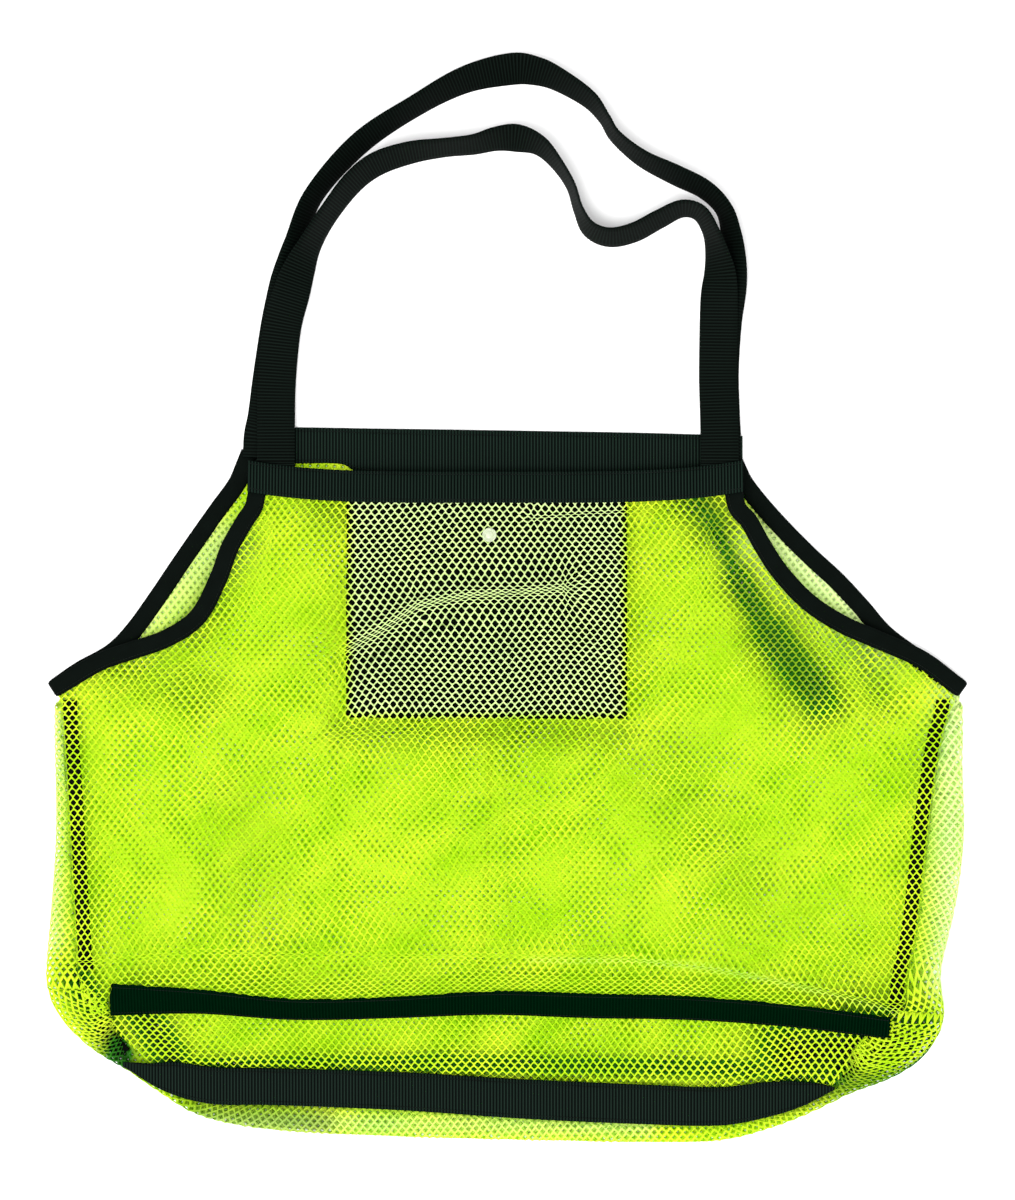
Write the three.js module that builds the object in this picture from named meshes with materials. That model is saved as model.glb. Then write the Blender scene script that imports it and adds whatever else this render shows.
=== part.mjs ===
import * as THREE from 'three';

// A soft knitted-net tote lying flat on its back. Millimetres: +X across the bag, +Y from its bottom
// fold to its handles, +Z up from the ground. The origin is on the ground under the middle.

// Driving sizes
const bodyWidth = 485;
const bodyHeight = 359;
const cornerHeight = 243;
const crestDepth = 50;
const mouthWidth = 260;
const mouthShift = -6;
const mouthDroop = 6;
const handleReach = 213.5;
const netThickness = 1.2;
const bandWidth = 17.5;
const bandSlope = 0.35;
const bandThickness = 1.6;
const backBandRise = 17;
const backBandWidth = 18.5;
const bindingWidth = 9.5;
const bindingThickness = 1.8;
const tapeWidth = 8;
const tapeThickness = 1;
const baseTapeDrop = 3.6;
const webbingWidth = 20;
const webbingThickness = 1.4;
const pocketWidth = 147;
const pocketHeight = 113;
const pocketShift = -4.5;
const pocketThickness = 1;
const snapDiameter = 7.5;
const snapThickness = 1.6;
const snapShift = -3;
const snapDrop = 17;
const gap = 0.3;
const seamGap = 0.8;
const edgeGap = 1.1;

const halfBody = bodyWidth / 2;
const totalLength = bodyHeight + handleReach;
const bottomY = -totalLength / 2;
const cornerY = bottomY + cornerHeight;
const mouthY = bottomY + bodyHeight;
const mouthLeft = mouthShift - mouthWidth / 2;
const mouthRight = mouthShift + mouthWidth / 2;
const bandRun = bandWidth * Math.cos(bandSlope);
const bandDrop = bandWidth * Math.sin(bandSlope);
const netMiddleZ = netThickness / 2;
const snapSeat = netThickness / 2 + gap;
const heelSlope = 0.06;
const heelStartShare = 0.065;
const heelEndShare = 0.98;

// Each side seam from its corner down to the base. fold is the outermost line that the net turns
// round, seam the line on top where front and back meet. across: of half the body's width.
// up: of the corner's height. lift: of the crest's depth.
const leftSide = [
  { foldAcross: -0.982, foldUp: 0.940, seamAcross: -0.965, seamUp: 0.935, lift: 0.09 },
  { foldAcross: -0.982, foldUp: 0.874, seamAcross: -0.960, seamUp: 0.874, lift: 0.14 },
  { foldAcross: -0.977, foldUp: 0.711, seamAcross: -0.949, seamUp: 0.711, lift: 0.20 },
  { foldAcross: -0.984, foldUp: 0.560, seamAcross: -0.940, seamUp: 0.560, lift: 0.24 },
  { foldAcross: -0.997, foldUp: 0.408, seamAcross: -0.930, seamUp: 0.408, lift: 0.27 },
  { foldAcross: -1.000, foldUp: 0.340, seamAcross: -0.917, seamUp: 0.335, lift: 0.28 },
];
const leftBase = [
  { foldAcross: -1.000, foldUp: 0.340, seamAcross: -0.917, seamUp: 0.335, lift: 0.28 },
  { foldAcross: -0.972, foldUp: 0.276, seamAcross: -0.899, seamUp: 0.275, lift: 0.22 },
  { foldAcross: -0.903, foldUp: 0.204, seamAcross: -0.872, seamUp: 0.212, lift: 0.14 },
  { foldAcross: -0.810, foldUp: 0.150, seamAcross: -0.832, seamUp: 0.166, lift: 0.10 },
];
const heel = [
  { foldAcross: -0.810, foldUp: 0.150, seamAcross: -0.832, seamUp: 0.166, lift: 0.10 },
  { foldAcross: -0.740, foldUp: 0.100, seamAcross: -0.740, seamUp: 0.112, lift: 0.10 },
  { foldAcross: -0.660, foldUp: 0.055, seamAcross: -0.640, seamUp: 0.085, lift: 0.095 },
  { foldAcross: -0.507, foldUp: 0.026, seamAcross: -0.500, seamUp: 0.082, lift: 0.09 },
  { foldAcross: -0.230, foldUp: 0.012, seamAcross: -0.230, seamUp: 0.071, lift: 0.09 },
  { foldAcross: 0.030, foldUp: 0.005, seamAcross: 0.030, seamUp: 0.053, lift: 0.09 },
  { foldAcross: 0.290, foldUp: 0.000, seamAcross: 0.290, seamUp: 0.041, lift: 0.09 },
  { foldAcross: 0.460, foldUp: 0.003, seamAcross: 0.460, seamUp: 0.038, lift: 0.09 },
  { foldAcross: 0.575, foldUp: 0.032, seamAcross: 0.560, seamUp: 0.055, lift: 0.095 },
  { foldAcross: 0.660, foldUp: 0.065, seamAcross: 0.640, seamUp: 0.080, lift: 0.10 },
  { foldAcross: 0.745, foldUp: 0.107, seamAcross: 0.718, seamUp: 0.120, lift: 0.11 },
];
const rightBase = [
  { foldAcross: 0.745, foldUp: 0.107, seamAcross: 0.718, seamUp: 0.120, lift: 0.11 },
  { foldAcross: 0.825, foldUp: 0.136, seamAcross: 0.760, seamUp: 0.154, lift: 0.16 },
  { foldAcross: 0.893, foldUp: 0.176, seamAcross: 0.795, seamUp: 0.195, lift: 0.22 },
  { foldAcross: 0.937, foldUp: 0.234, seamAcross: 0.838, seamUp: 0.240, lift: 0.29 },
  { foldAcross: 0.952, foldUp: 0.284, seamAcross: 0.857, seamUp: 0.286, lift: 0.36 },
];
const rightSide = [
  { foldAcross: 0.952, foldUp: 0.284, seamAcross: 0.857, seamUp: 0.286, lift: 0.36 },
  { foldAcross: 0.939, foldUp: 0.364, seamAcross: 0.866, seamUp: 0.364, lift: 0.32 },
  { foldAcross: 0.959, foldUp: 0.451, seamAcross: 0.885, seamUp: 0.451, lift: 0.28 },
  { foldAcross: 0.980, foldUp: 0.549, seamAcross: 0.898, seamUp: 0.549, lift: 0.25 },
  { foldAcross: 0.993, foldUp: 0.679, seamAcross: 0.913, seamUp: 0.679, lift: 0.22 },
  { foldAcross: 0.989, foldUp: 0.809, seamAcross: 0.931, seamUp: 0.809, lift: 0.18 },
  { foldAcross: 0.991, foldUp: 0.880, seamAcross: 0.945, seamUp: 0.885, lift: 0.14 },
  { foldAcross: 0.991, foldUp: 0.935, seamAcross: 0.960, seamUp: 0.930, lift: 0.09 },
];

// Outer edge of each shoulder's binding from the mouth to the corner. out: share of the way from the
// mouth's end to the body's side. up: share of the way from the corner to the mouth.
const leftShoulder = [
  { at: 0.00, frontOut: 0.000, frontUp: 0.842, backOut: 0.064, backUp: 0.980, lift: 0.27 },
  { at: 0.05, frontOut: 0.010, frontUp: 0.802, backOut: 0.095, backUp: 0.915, lift: 0.27 },
  { at: 0.13, frontOut: 0.050, frontUp: 0.747, backOut: 0.178, backUp: 0.810, lift: 0.26 },
  { at: 0.25, frontOut: 0.128, frontUp: 0.620, backOut: 0.286, backUp: 0.670, lift: 0.25 },
  { at: 0.37, frontOut: 0.183, frontUp: 0.484, backOut: 0.385, backUp: 0.538, lift: 0.23 },
  { at: 0.50, frontOut: 0.277, frontUp: 0.321, backOut: 0.484, backUp: 0.403, lift: 0.20 },
  { at: 0.63, frontOut: 0.420, frontUp: 0.231, backOut: 0.598, backUp: 0.258, lift: 0.17 },
  { at: 0.75, frontOut: 0.593, frontUp: 0.176, backOut: 0.700, backUp: 0.163, lift: 0.14 },
  { at: 0.87, frontOut: 0.756, frontUp: 0.122, backOut: 0.849, backUp: 0.086, lift: 0.11 },
  { at: 1.00, frontOut: 0.973, frontUp: 0.005, backOut: 0.978, backUp: 0.005, lift: 0.07 },
];
const rightShoulder = [
  { at: 0.00, frontOut: 0.000, frontUp: 0.842, backOut: 0.013, backUp: 0.980, lift: 0.27 },
  { at: 0.05, frontOut: 0.010, frontUp: 0.802, backOut: 0.042, backUp: 0.920, lift: 0.27 },
  { at: 0.13, frontOut: 0.055, frontUp: 0.751, backOut: 0.110, backUp: 0.830, lift: 0.26 },
  { at: 0.25, frontOut: 0.115, frontUp: 0.643, backOut: 0.208, backUp: 0.719, lift: 0.25 },
  { at: 0.37, frontOut: 0.190, frontUp: 0.525, backOut: 0.327, backUp: 0.597, lift: 0.23 },
  { at: 0.50, frontOut: 0.310, frontUp: 0.394, backOut: 0.447, backUp: 0.484, lift: 0.20 },
  { at: 0.63, frontOut: 0.451, frontUp: 0.299, backOut: 0.558, backUp: 0.362, lift: 0.17 },
  { at: 0.75, frontOut: 0.611, frontUp: 0.226, backOut: 0.659, backUp: 0.244, lift: 0.14 },
  { at: 0.87, frontOut: 0.810, frontUp: 0.136, backOut: 0.796, backUp: 0.140, lift: 0.11 },
  { at: 1.00, frontOut: 0.985, frontUp: 0.004, backOut: 0.989, backUp: 0.004, lift: 0.07 },
];

// The front bottom webbing along its length. up: its lower edge, of the corner's height. rise: how much
// of its width shows from above. crest: the crest's distance beyond it, of the webbing's width.
const lipLeftShare = -0.885;
const lipRightShare = 0.820;
const lip = [
  { at: 0.000, up: 0.278, rise: 0.90, lift: 0.19, crest: 0.50 },
  { at: 0.125, up: 0.284, rise: 0.68, lift: 0.26, crest: 0.95 },
  { at: 0.250, up: 0.271, rise: 0.60, lift: 0.29, crest: 1.16 },
  { at: 0.375, up: 0.275, rise: 0.60, lift: 0.30, crest: 1.08 },
  { at: 0.500, up: 0.282, rise: 0.66, lift: 0.30, crest: 0.95 },
  { at: 0.625, up: 0.275, rise: 0.68, lift: 0.30, crest: 1.00 },
  { at: 0.750, up: 0.271, rise: 0.66, lift: 0.30, crest: 0.79 },
  { at: 0.875, up: 0.256, rise: 0.63, lift: 0.28, crest: 0.55 },
  { at: 1.000, up: 0.230, rise: 0.60, lift: 0.24, crest: 0.30 },
];

// How much of the back bottom webbing's width shows before it rolls under at its ends
const heelShow = [
  { at: 0.0, width: 0.25 },
  { at: 0.1, width: 0.72 },
  { at: 0.25, width: 0.95 },
  { at: 0.5, width: 1.0 },
  { at: 0.75, width: 0.98 },
  { at: 0.9, width: 0.72 },
  { at: 1.0, width: 0.25 },
];

// The front net's height in the middle, from the crest to the front band
const swell = [
  { at: 0.0, lift: 1.0 },
  { at: 0.08, lift: 0.96 },
  { at: 0.2, lift: 0.84 },
  { at: 0.4, lift: 0.68 },
  { at: 0.6, lift: 0.56 },
  { at: 0.8, lift: 0.42 },
  { at: 1.0, lift: 0.28 },
];

// Folds in the front net. across: of half the body's width. up: of the body's height.
// reach: half the fold's width, and height: its depth, both of the crest's depth.
const folds = [
  { fromAcross: 0.42, fromUp: 0.94, toAcross: 0.56, toUp: 0.80, reach: 0.16, height: 0.10 },
  { fromAcross: 0.56, fromUp: 0.80, toAcross: 0.70, toUp: 0.63, reach: 0.20, height: 0.12 },
  { fromAcross: 0.78, fromUp: 0.70, toAcross: 0.86, toUp: 0.52, reach: 0.20, height: -0.08 },
  { fromAcross: -0.34, fromUp: 0.73, toAcross: -0.08, toUp: 0.80, reach: 0.16, height: 0.08 },
  { fromAcross: -0.08, fromUp: 0.80, toAcross: 0.16, toUp: 0.81, reach: 0.16, height: 0.08 },
  { fromAcross: -0.52, fromUp: 0.80, toAcross: -0.70, toUp: 0.60, reach: 0.22, height: -0.08 },
  { fromAcross: -0.75, fromUp: 0.50, toAcross: -0.45, toUp: 0.36, reach: 0.26, height: 0.07 },
  { fromAcross: 0.30, fromUp: 0.42, toAcross: 0.70, toUp: 0.34, reach: 0.26, height: -0.07 },
];

// The base net's inward pleat: run is how far across the base, lift how high between its two edges
const pleat = [
  { at: 0.0, run: 0.0, lift: 1.0 },
  { at: 0.18, run: -0.42, lift: 0.86 },
  { at: 0.34, run: -0.62, lift: 0.62 },
  { at: 0.5, run: -0.30, lift: 0.42 },
  { at: 0.7, run: 0.35, lift: 0.30 },
  { at: 0.88, run: 0.80, lift: 0.12 },
  { at: 1.0, run: 1.0, lift: 0.0 },
];

// The handles' centre lines from left end to right end. across: of the mouth's width, from its middle.
// up: of the handles' reach, from the mouth. turn: degrees from lying flat to standing on edge.
// lift: height of the lower edge over the ground, of the webbing's width.
const backHandlePath = [
  { across: -0.472, up: 0.006, turn: 0, lift: 0.10 },
  { across: -0.470, up: 0.060, turn: 0, lift: 0.10 },
  { across: -0.462, up: 0.110, turn: 0, lift: 0.095 },
  { across: -0.452, up: 0.205, turn: 0, lift: 0.03 },
  { across: -0.437, up: 0.325, turn: 3, lift: 0.02 },
  { across: -0.424, up: 0.405, turn: 12, lift: 0.02 },
  { across: -0.414, up: 0.470, turn: 35, lift: 0.02 },
  { across: -0.402, up: 0.535, turn: 55, lift: 0.02 },
  { across: -0.367, up: 0.650, turn: 62, lift: 0.02 },
  { across: -0.273, up: 0.780, turn: 58, lift: 0.02 },
  { across: -0.160, up: 0.872, turn: 60, lift: 0.02 },
  { across: -0.062, up: 0.935, turn: 50, lift: 0.02 },
  { across: 0.030, up: 0.962, turn: 38, lift: 0.02 },
  { across: 0.082, up: 0.957, turn: 46, lift: 0.02 },
  { across: 0.128, up: 0.935, turn: 57, lift: 0.02 },
  { across: 0.188, up: 0.888, turn: 66, lift: 0.02 },
  { across: 0.220, up: 0.840, turn: 75, lift: 0.02 },
  { across: 0.243, up: 0.795, turn: 74, lift: 0.02 },
  { across: 0.296, up: 0.742, turn: 68, lift: 0.02 },
  { across: 0.362, up: 0.702, turn: 62, lift: 0.02 },
  { across: 0.423, up: 0.665, turn: 64, lift: 0.02 },
  { across: 0.462, up: 0.615, turn: 66, lift: 0.02 },
  { across: 0.476, up: 0.550, turn: 58, lift: 0.02 },
  { across: 0.476, up: 0.485, turn: 38, lift: 0.02 },
  { across: 0.470, up: 0.420, turn: 16, lift: 0.02 },
  { across: 0.460, up: 0.340, turn: 4, lift: 0.02 },
  { across: 0.454, up: 0.220, turn: 0, lift: 0.03 },
  { across: 0.456, up: 0.110, turn: 0, lift: 0.095 },
  { across: 0.458, up: 0.060, turn: 0, lift: 0.10 },
  { across: 0.458, up: 0.006, turn: 0, lift: 0.10 },
];
const frontHandlePath = [
  { across: -0.443, up: -0.080, turn: 0, lift: 0.565 },
  { across: -0.443, up: -0.010, turn: 0, lift: 0.295 },
  { across: -0.443, up: 0.040, turn: 0, lift: 0.225 },
  { across: -0.443, up: 0.110, turn: 0, lift: 0.195 },
  { across: -0.441, up: 0.205, turn: 0, lift: 0.135 },
  { across: -0.431, up: 0.325, turn: 3, lift: 0.125 },
  { across: -0.414, up: 0.405, turn: 12, lift: 0.125 },
  { across: -0.396, up: 0.470, turn: 35, lift: 0.10 },
  { across: -0.374, up: 0.530, turn: 55, lift: 0.05 },
  { across: -0.340, up: 0.600, turn: 61, lift: 0.02 },
  { across: -0.290, up: 0.680, turn: 58, lift: 0.02 },
  { across: -0.240, up: 0.728, turn: 55, lift: 0.02 },
  { across: -0.172, up: 0.756, turn: 58, lift: 0.02 },
  { across: -0.105, up: 0.768, turn: 64, lift: 0.02 },
  { across: -0.044, up: 0.776, turn: 62, lift: 0.02 },
  { across: 0.002, up: 0.790, turn: 55, lift: 0.02 },
  { across: 0.044, up: 0.792, turn: 48, lift: 0.02 },
  { across: 0.088, up: 0.774, turn: 62, lift: 0.02 },
  { across: 0.122, up: 0.732, turn: 73, lift: 0.02 },
  { across: 0.152, up: 0.675, turn: 78, lift: 0.02 },
  { across: 0.168, up: 0.615, turn: 77, lift: 0.02 },
  { across: 0.190, up: 0.568, turn: 68, lift: 0.02 },
  { across: 0.230, up: 0.548, turn: 63, lift: 0.02 },
  { across: 0.280, up: 0.560, turn: 62, lift: 0.02 },
  { across: 0.330, up: 0.592, turn: 63, lift: 0.02 },
  { across: 0.376, up: 0.618, turn: 66, lift: 0.02 },
  { across: 0.412, up: 0.608, turn: 68, lift: 0.02 },
  { across: 0.434, up: 0.565, turn: 67, lift: 0.03 },
  { across: 0.446, up: 0.515, turn: 56, lift: 0.06 },
  { across: 0.453, up: 0.460, turn: 36, lift: 0.10 },
  { across: 0.452, up: 0.400, turn: 15, lift: 0.125 },
  { across: 0.451, up: 0.320, turn: 4, lift: 0.125 },
  { across: 0.450, up: 0.205, turn: 0, lift: 0.135 },
  { across: 0.452, up: 0.110, turn: 0, lift: 0.195 },
  { across: 0.453, up: 0.040, turn: 0, lift: 0.225 },
  { across: 0.453, up: -0.010, turn: 0, lift: 0.295 },
  { across: 0.453, up: -0.080, turn: 0, lift: 0.565 },
];

const netGreen = new THREE.Color(0xc8f01e);
const webBlack = new THREE.Color(0x141c19);
const snapClear = new THREE.Color(0xdfe6e0);

function clamp(value, low, high) {
  return Math.min(Math.max(value, low), high);
}

function mix(a, b, t) {
  return a + (b - a) * t;
}

// A smooth curve through one column of a table, read at a share of the way along it
function readTable(rows, column, at) {
  const last = rows.length - 1;
  const key = (k) => rows[k].at ?? k / last;
  const place = clamp(at, key(0), key(last));
  let k = 1;
  while (k < last && key(k) < place) k += 1;
  const slopeAt = (n) => {
    const before = Math.max(n - 1, 0);
    const after = Math.min(n + 1, last);
    return (rows[after][column] - rows[before][column]) / (key(after) - key(before));
  };
  const span = key(k) - key(k - 1);
  const t = (place - key(k - 1)) / span;
  const bend = t * t * (3 - 2 * t);
  const start = slopeAt(k - 1) * span * t * (1 - t) * (1 - t);
  const end = slopeAt(k) * span * t * t * (1 - t);
  return mix(rows[k - 1][column], rows[k][column], bend) + start - end;
}

// The point where a line that runs down the bag crosses a height y
function crossing(line, y) {
  let k = 1;
  while (k < line.length - 1 && line[k].y > y) k += 1;
  const a = line[k - 1];
  const b = line[k];
  const t = clamp((y - a.y) / (b.y - a.y), 0, 1);
  return new THREE.Vector3().lerpVectors(a, b, t);
}

// A flat line moved sideways. Positive distances go to the right of its direction.
function offsetLine(line, distance) {
  return line.map((point, k) => {
    const before = line[Math.max(k - 1, 0)];
    const after = line[Math.min(k + 1, line.length - 1)];
    const way = new THREE.Vector2(after.x - before.x, after.y - before.y).normalize();
    return new THREE.Vector3(point.x + way.y * distance, point.y - way.x * distance, point.z);
  });
}

// Points on one side's shoulder edge, from the mouth to the corner
function shoulderLine(rows, mouthX, sideX, layer, count) {
  const points = [];
  for (let k = 0; k <= count; k += 1) {
    const at = k / count;
    const out = readTable(rows, `${layer}Out`, at);
    const up = readTable(rows, `${layer}Up`, at);
    const lift = layer === 'front' ? readTable(rows, 'lift', at) * crestDepth : bindingThickness / 2;
    points.push(new THREE.Vector3(mix(mouthX, sideX, out), mix(cornerY, mouthY, up), lift));
  }
  return points;
}

function seamPoint(rows, at) {
  return new THREE.Vector3(
    readTable(rows, 'seamAcross', at) * halfBody,
    bottomY + readTable(rows, 'seamUp', at) * cornerHeight,
    readTable(rows, 'lift', at) * crestDepth,
  );
}

function foldPoint(rows, at) {
  return new THREE.Vector3(
    readTable(rows, 'foldAcross', at) * halfBody,
    bottomY + readTable(rows, 'foldUp', at) * cornerHeight,
    0,
  );
}

const shoulderSteps = 26;
const leftFront = shoulderLine(leftShoulder, mouthLeft, -halfBody, 'front', shoulderSteps);
const rightFront = shoulderLine(rightShoulder, mouthRight, halfBody, 'front', shoulderSteps);
const leftBack = shoulderLine(leftShoulder, mouthLeft, -halfBody, 'back', shoulderSteps);
const rightBack = shoulderLine(rightShoulder, mouthRight, halfBody, 'back', shoulderSteps);

// The front net's two edges from the mouth down: inside the binding, then along the side seam
function frontEdge(outer, side, fromTop, inward) {
  const edge = offsetLine(outer, inward * (bindingWidth + edgeGap));
  const steps = 24;
  for (let k = 0; k <= steps; k += 1) {
    const point = seamPoint(side, fromTop ? k / steps : 1 - k / steps);
    point.x += Math.sign(-point.x) * seamGap / 2;
    edge.push(point);
  }
  return edge;
}
const leftEdge = frontEdge(leftFront, leftSide, true, -1);
const rightEdge = frontEdge(rightFront, rightSide, false, 1);

// Named lines across the front, each a height y for an x
function lipShare(x) {
  return clamp((x / halfBody - lipLeftShare) / (lipRightShare - lipLeftShare), 0, 1);
}

function lipLowY(x) {
  return bottomY + readTable(lip, 'up', lipShare(x)) * cornerHeight;
}

function lipHighY(x) {
  return lipLowY(x) + readTable(lip, 'rise', lipShare(x)) * webbingWidth;
}

function lipLowZ(x) {
  return readTable(lip, 'lift', lipShare(x)) * crestDepth;
}

function lipHighZ(x) {
  const rise = readTable(lip, 'rise', lipShare(x));
  return lipLowZ(x) + webbingWidth * Math.sqrt(1 - rise * rise);
}

function crestY(x) {
  return lipHighY(x) + seamGap + readTable(lip, 'crest', lipShare(x)) * webbingWidth;
}

function droop(x) {
  const share = clamp((x - mouthShift) / (mouthWidth / 2), -1, 1);
  return mouthDroop * (1 - share ** 4);
}

function bandHighY(x) {
  return mouthY - droop(x);
}

function bandLowY(x) {
  return bandHighY(x) - bandRun;
}

function foldLift(x, y) {
  let lift = 0;
  for (const fold of folds) {
    const start = new THREE.Vector2(fold.fromAcross * halfBody, bottomY + fold.fromUp * bodyHeight);
    const end = new THREE.Vector2(fold.toAcross * halfBody, bottomY + fold.toUp * bodyHeight);
    const way = end.clone().sub(start);
    const along = ((x - start.x) * way.x + (y - start.y) * way.y) / way.lengthSq();
    const nearest = start.clone().addScaledVector(way, clamp(along, 0, 1));
    const distance = nearest.distanceTo(new THREE.Vector2(x, y)) / (fold.reach * crestDepth);
    lift += fold.height * crestDepth * Math.exp(-distance * distance);
  }
  return lift;
}

// The front net from its crest to the mouth: swollen in the middle, low along both edges
function upperHeight(x, y) {
  const left = crossing(leftEdge, y);
  const right = crossing(rightEdge, y);
  const share = clamp((x - left.x) / (right.x - left.x), 0, 1);
  const edge = mix(left.z, right.z, share);
  const crest = crestY(x);
  const along = clamp((y - crest) / (bandLowY(x) - crest), 0, 1);
  const crown = 1 - Math.abs(2 * share - 1) ** 3.2;
  const middle = readTable(swell, 'lift', along) * crestDepth;
  const calm = clamp((1 - along) * 8, 0, 1);
  return edge + (middle - edge + foldLift(x, y) * calm) * crown;
}

function frontHeight(x, y) {
  const crest = crestY(x);
  if (y >= crest) return upperHeight(x, y);
  const low = lipHighY(x) + seamGap;
  const share = clamp((y - low) / (crest - low), 0, 1);
  return mix(lipHighZ(x) + gap, upperHeight(x, crest), Math.sin(share * Math.PI / 2));
}

// Grid lines of the front net pass along its tapes, its pocket and its corners
const pocketLeft = mouthShift + pocketShift - pocketWidth / 2;
const pocketRight = pocketLeft + pocketWidth;
const frontColumns = gridStops([1, 8, 8, 8, 1]);
const frontRows = gridStops([3, 8, 2, 14]);
const cornerCrowding = 1.3;

function gridStops(divisions) {
  const stops = [0];
  divisions.forEach((count, n) => {
    for (let k = 1; k <= count; k += 1) stops.push(n + k / count);
  });
  return stops;
}

function between(stops, place) {
  const n = clamp(Math.floor(place), 0, stops.length - 2);
  return mix(stops[n], stops[n + 1], place - n);
}

function frontRowY(row, x) {
  const pocketLow = bandLowY(x) - pocketHeight;
  const corner = cornerY - bindingWidth;
  const crowded = row > 3 ? 3 + (row - 3) ** cornerCrowding : row;
  return between([lipHighY(x) + seamGap, crestY(x), pocketLow, corner, bandLowY(x) - gap], crowded);
}

function frontPoint(column, row) {
  let left = leftEdge[leftEdge.length - 1];
  let right = rightEdge[rightEdge.length - 1];
  for (let pass = 0; pass < 6; pass += 1) {
    left = crossing(leftEdge, frontRowY(row, left.x));
    right = crossing(rightEdge, frontRowY(row, right.x));
  }
  const stops = [left.x, left.x + tapeWidth, pocketLeft, pocketRight, right.x - tapeWidth, right.x];
  const x = between(stops, column);
  const y = frontRowY(row, x);
  return new THREE.Vector3(x, y, frontHeight(x, y));
}

function makeGrid(point, columns, rows) {
  const points = columns.map((column) => rows.map((row) => point(column, row)));
  const normals = points.map((line, i) => line.map((_, j) => {
    const acrossFrom = points[Math.max(i - 1, 0)][j];
    const acrossTo = points[Math.min(i + 1, columns.length - 1)][j];
    const alongFrom = points[i][Math.max(j - 1, 0)];
    const alongTo = points[i][Math.min(j + 1, rows.length - 1)];
    const across = new THREE.Vector3().subVectors(acrossTo, acrossFrom);
    const along = new THREE.Vector3().subVectors(alongTo, alongFrom);
    return across.cross(along).normalize();
  }));
  return { points, normals };
}

function closedGeometry(vertices, triangles) {
  const geometry = new THREE.BufferGeometry();
  const positions = vertices.flatMap((v) => [v.x, v.y, v.z]);
  geometry.setAttribute('position', new THREE.Float32BufferAttribute(positions, 3));
  geometry.setIndex(triangles);
  geometry.computeVertexNormals();
  return geometry;
}

// The faces of a layer of cloth between two distances from a grid of points, measured along its
// normals. The side along the first row can stay open, to join on to another surface.
function layerFaces({ points, normals }, low, high, openSide = false) {
  const columns = points.length;
  const rows = points[0].length;
  const vertices = [];
  for (const distance of [low, high]) {
    for (let i = 0; i < columns; i += 1) {
      for (let j = 0; j < rows; j += 1) {
        vertices.push(points[i][j].clone().addScaledVector(normals[i][j], distance));
      }
    }
  }
  const index = (layer, i, j) => layer * columns * rows + i * rows + j;
  const triangles = [];
  const quad = (a, b, c, d) => triangles.push(a, b, c, a, c, d);
  for (let i = 0; i < columns - 1; i += 1) {
    for (let j = 0; j < rows - 1; j += 1) {
      quad(index(1, i, j), index(1, i + 1, j), index(1, i + 1, j + 1), index(1, i, j + 1));
      quad(index(0, i, j), index(0, i, j + 1), index(0, i + 1, j + 1), index(0, i + 1, j));
    }
    const end = rows - 1;
    quad(index(0, i + 1, end), index(0, i, end), index(1, i, end), index(1, i + 1, end));
    if (!openSide) quad(index(0, i, 0), index(0, i + 1, 0), index(1, i + 1, 0), index(1, i, 0));
  }
  for (let j = 0; j < rows - 1; j += 1) {
    const end = columns - 1;
    quad(index(0, 0, j + 1), index(0, 0, j), index(1, 0, j), index(1, 0, j + 1));
    quad(index(0, end, j), index(0, end, j + 1), index(1, end, j + 1), index(1, end, j));
  }
  return { vertices, triangles, index, quad };
}

function layerGeometry(grid, low, high) {
  const { vertices, triangles } = layerFaces(grid, low, high);
  return closedGeometry(vertices, triangles);
}

function sheetGeometry(point, columns, rows, thickness) {
  return layerGeometry(makeGrid(point, columns, rows), -thickness / 2, thickness / 2);
}

function shares(count) {
  return Array.from({ length: count + 1 }, (_, k) => k / count);
}

function cutGrid({ points, normals }, columns, fromColumn, toColumn, rows, fromRow, toRow) {
  const firstColumn = columns.indexOf(fromColumn);
  const lastColumn = columns.indexOf(toColumn);
  const firstRow = rows.indexOf(fromRow);
  const lastRow = rows.indexOf(toRow);
  const cut = (grid) => grid.slice(firstColumn, lastColumn + 1)
    .map((line) => line.slice(firstRow, lastRow + 1));
  return { points: cut(points), normals: cut(normals) };
}

const frontGrid = makeGrid(frontPoint, frontColumns, frontRows);

function frontPanel() {
  return layerGeometry(frontGrid, -netThickness / 2, netThickness / 2);
}

// What lies under the front net keeps its facets, a gap below them
function underFront(fromColumn, toColumn, fromRow, toRow, thickness) {
  const cut = cutGrid(frontGrid, frontColumns, fromColumn, toColumn, frontRows, fromRow, toRow);
  const top = -netThickness / 2 - gap;
  return layerGeometry(cut, top - thickness, top);
}

// One line round the back net's folded rim, from the left corner past the bottom to the right corner
function rimStations() {
  const stations = [];
  const parts = [[leftSide, 14], [leftBase, 6], [heel, 24], [rightBase, 8], [rightSide, 16]];
  parts.forEach(([rows, count], n) => {
    for (let k = n === 0 ? 0 : 1; k <= count; k += 1) {
      stations.push({ fold: foldPoint(rows, k / count), seam: seamPoint(rows, k / count) });
    }
  });
  return stations;
}

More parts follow.
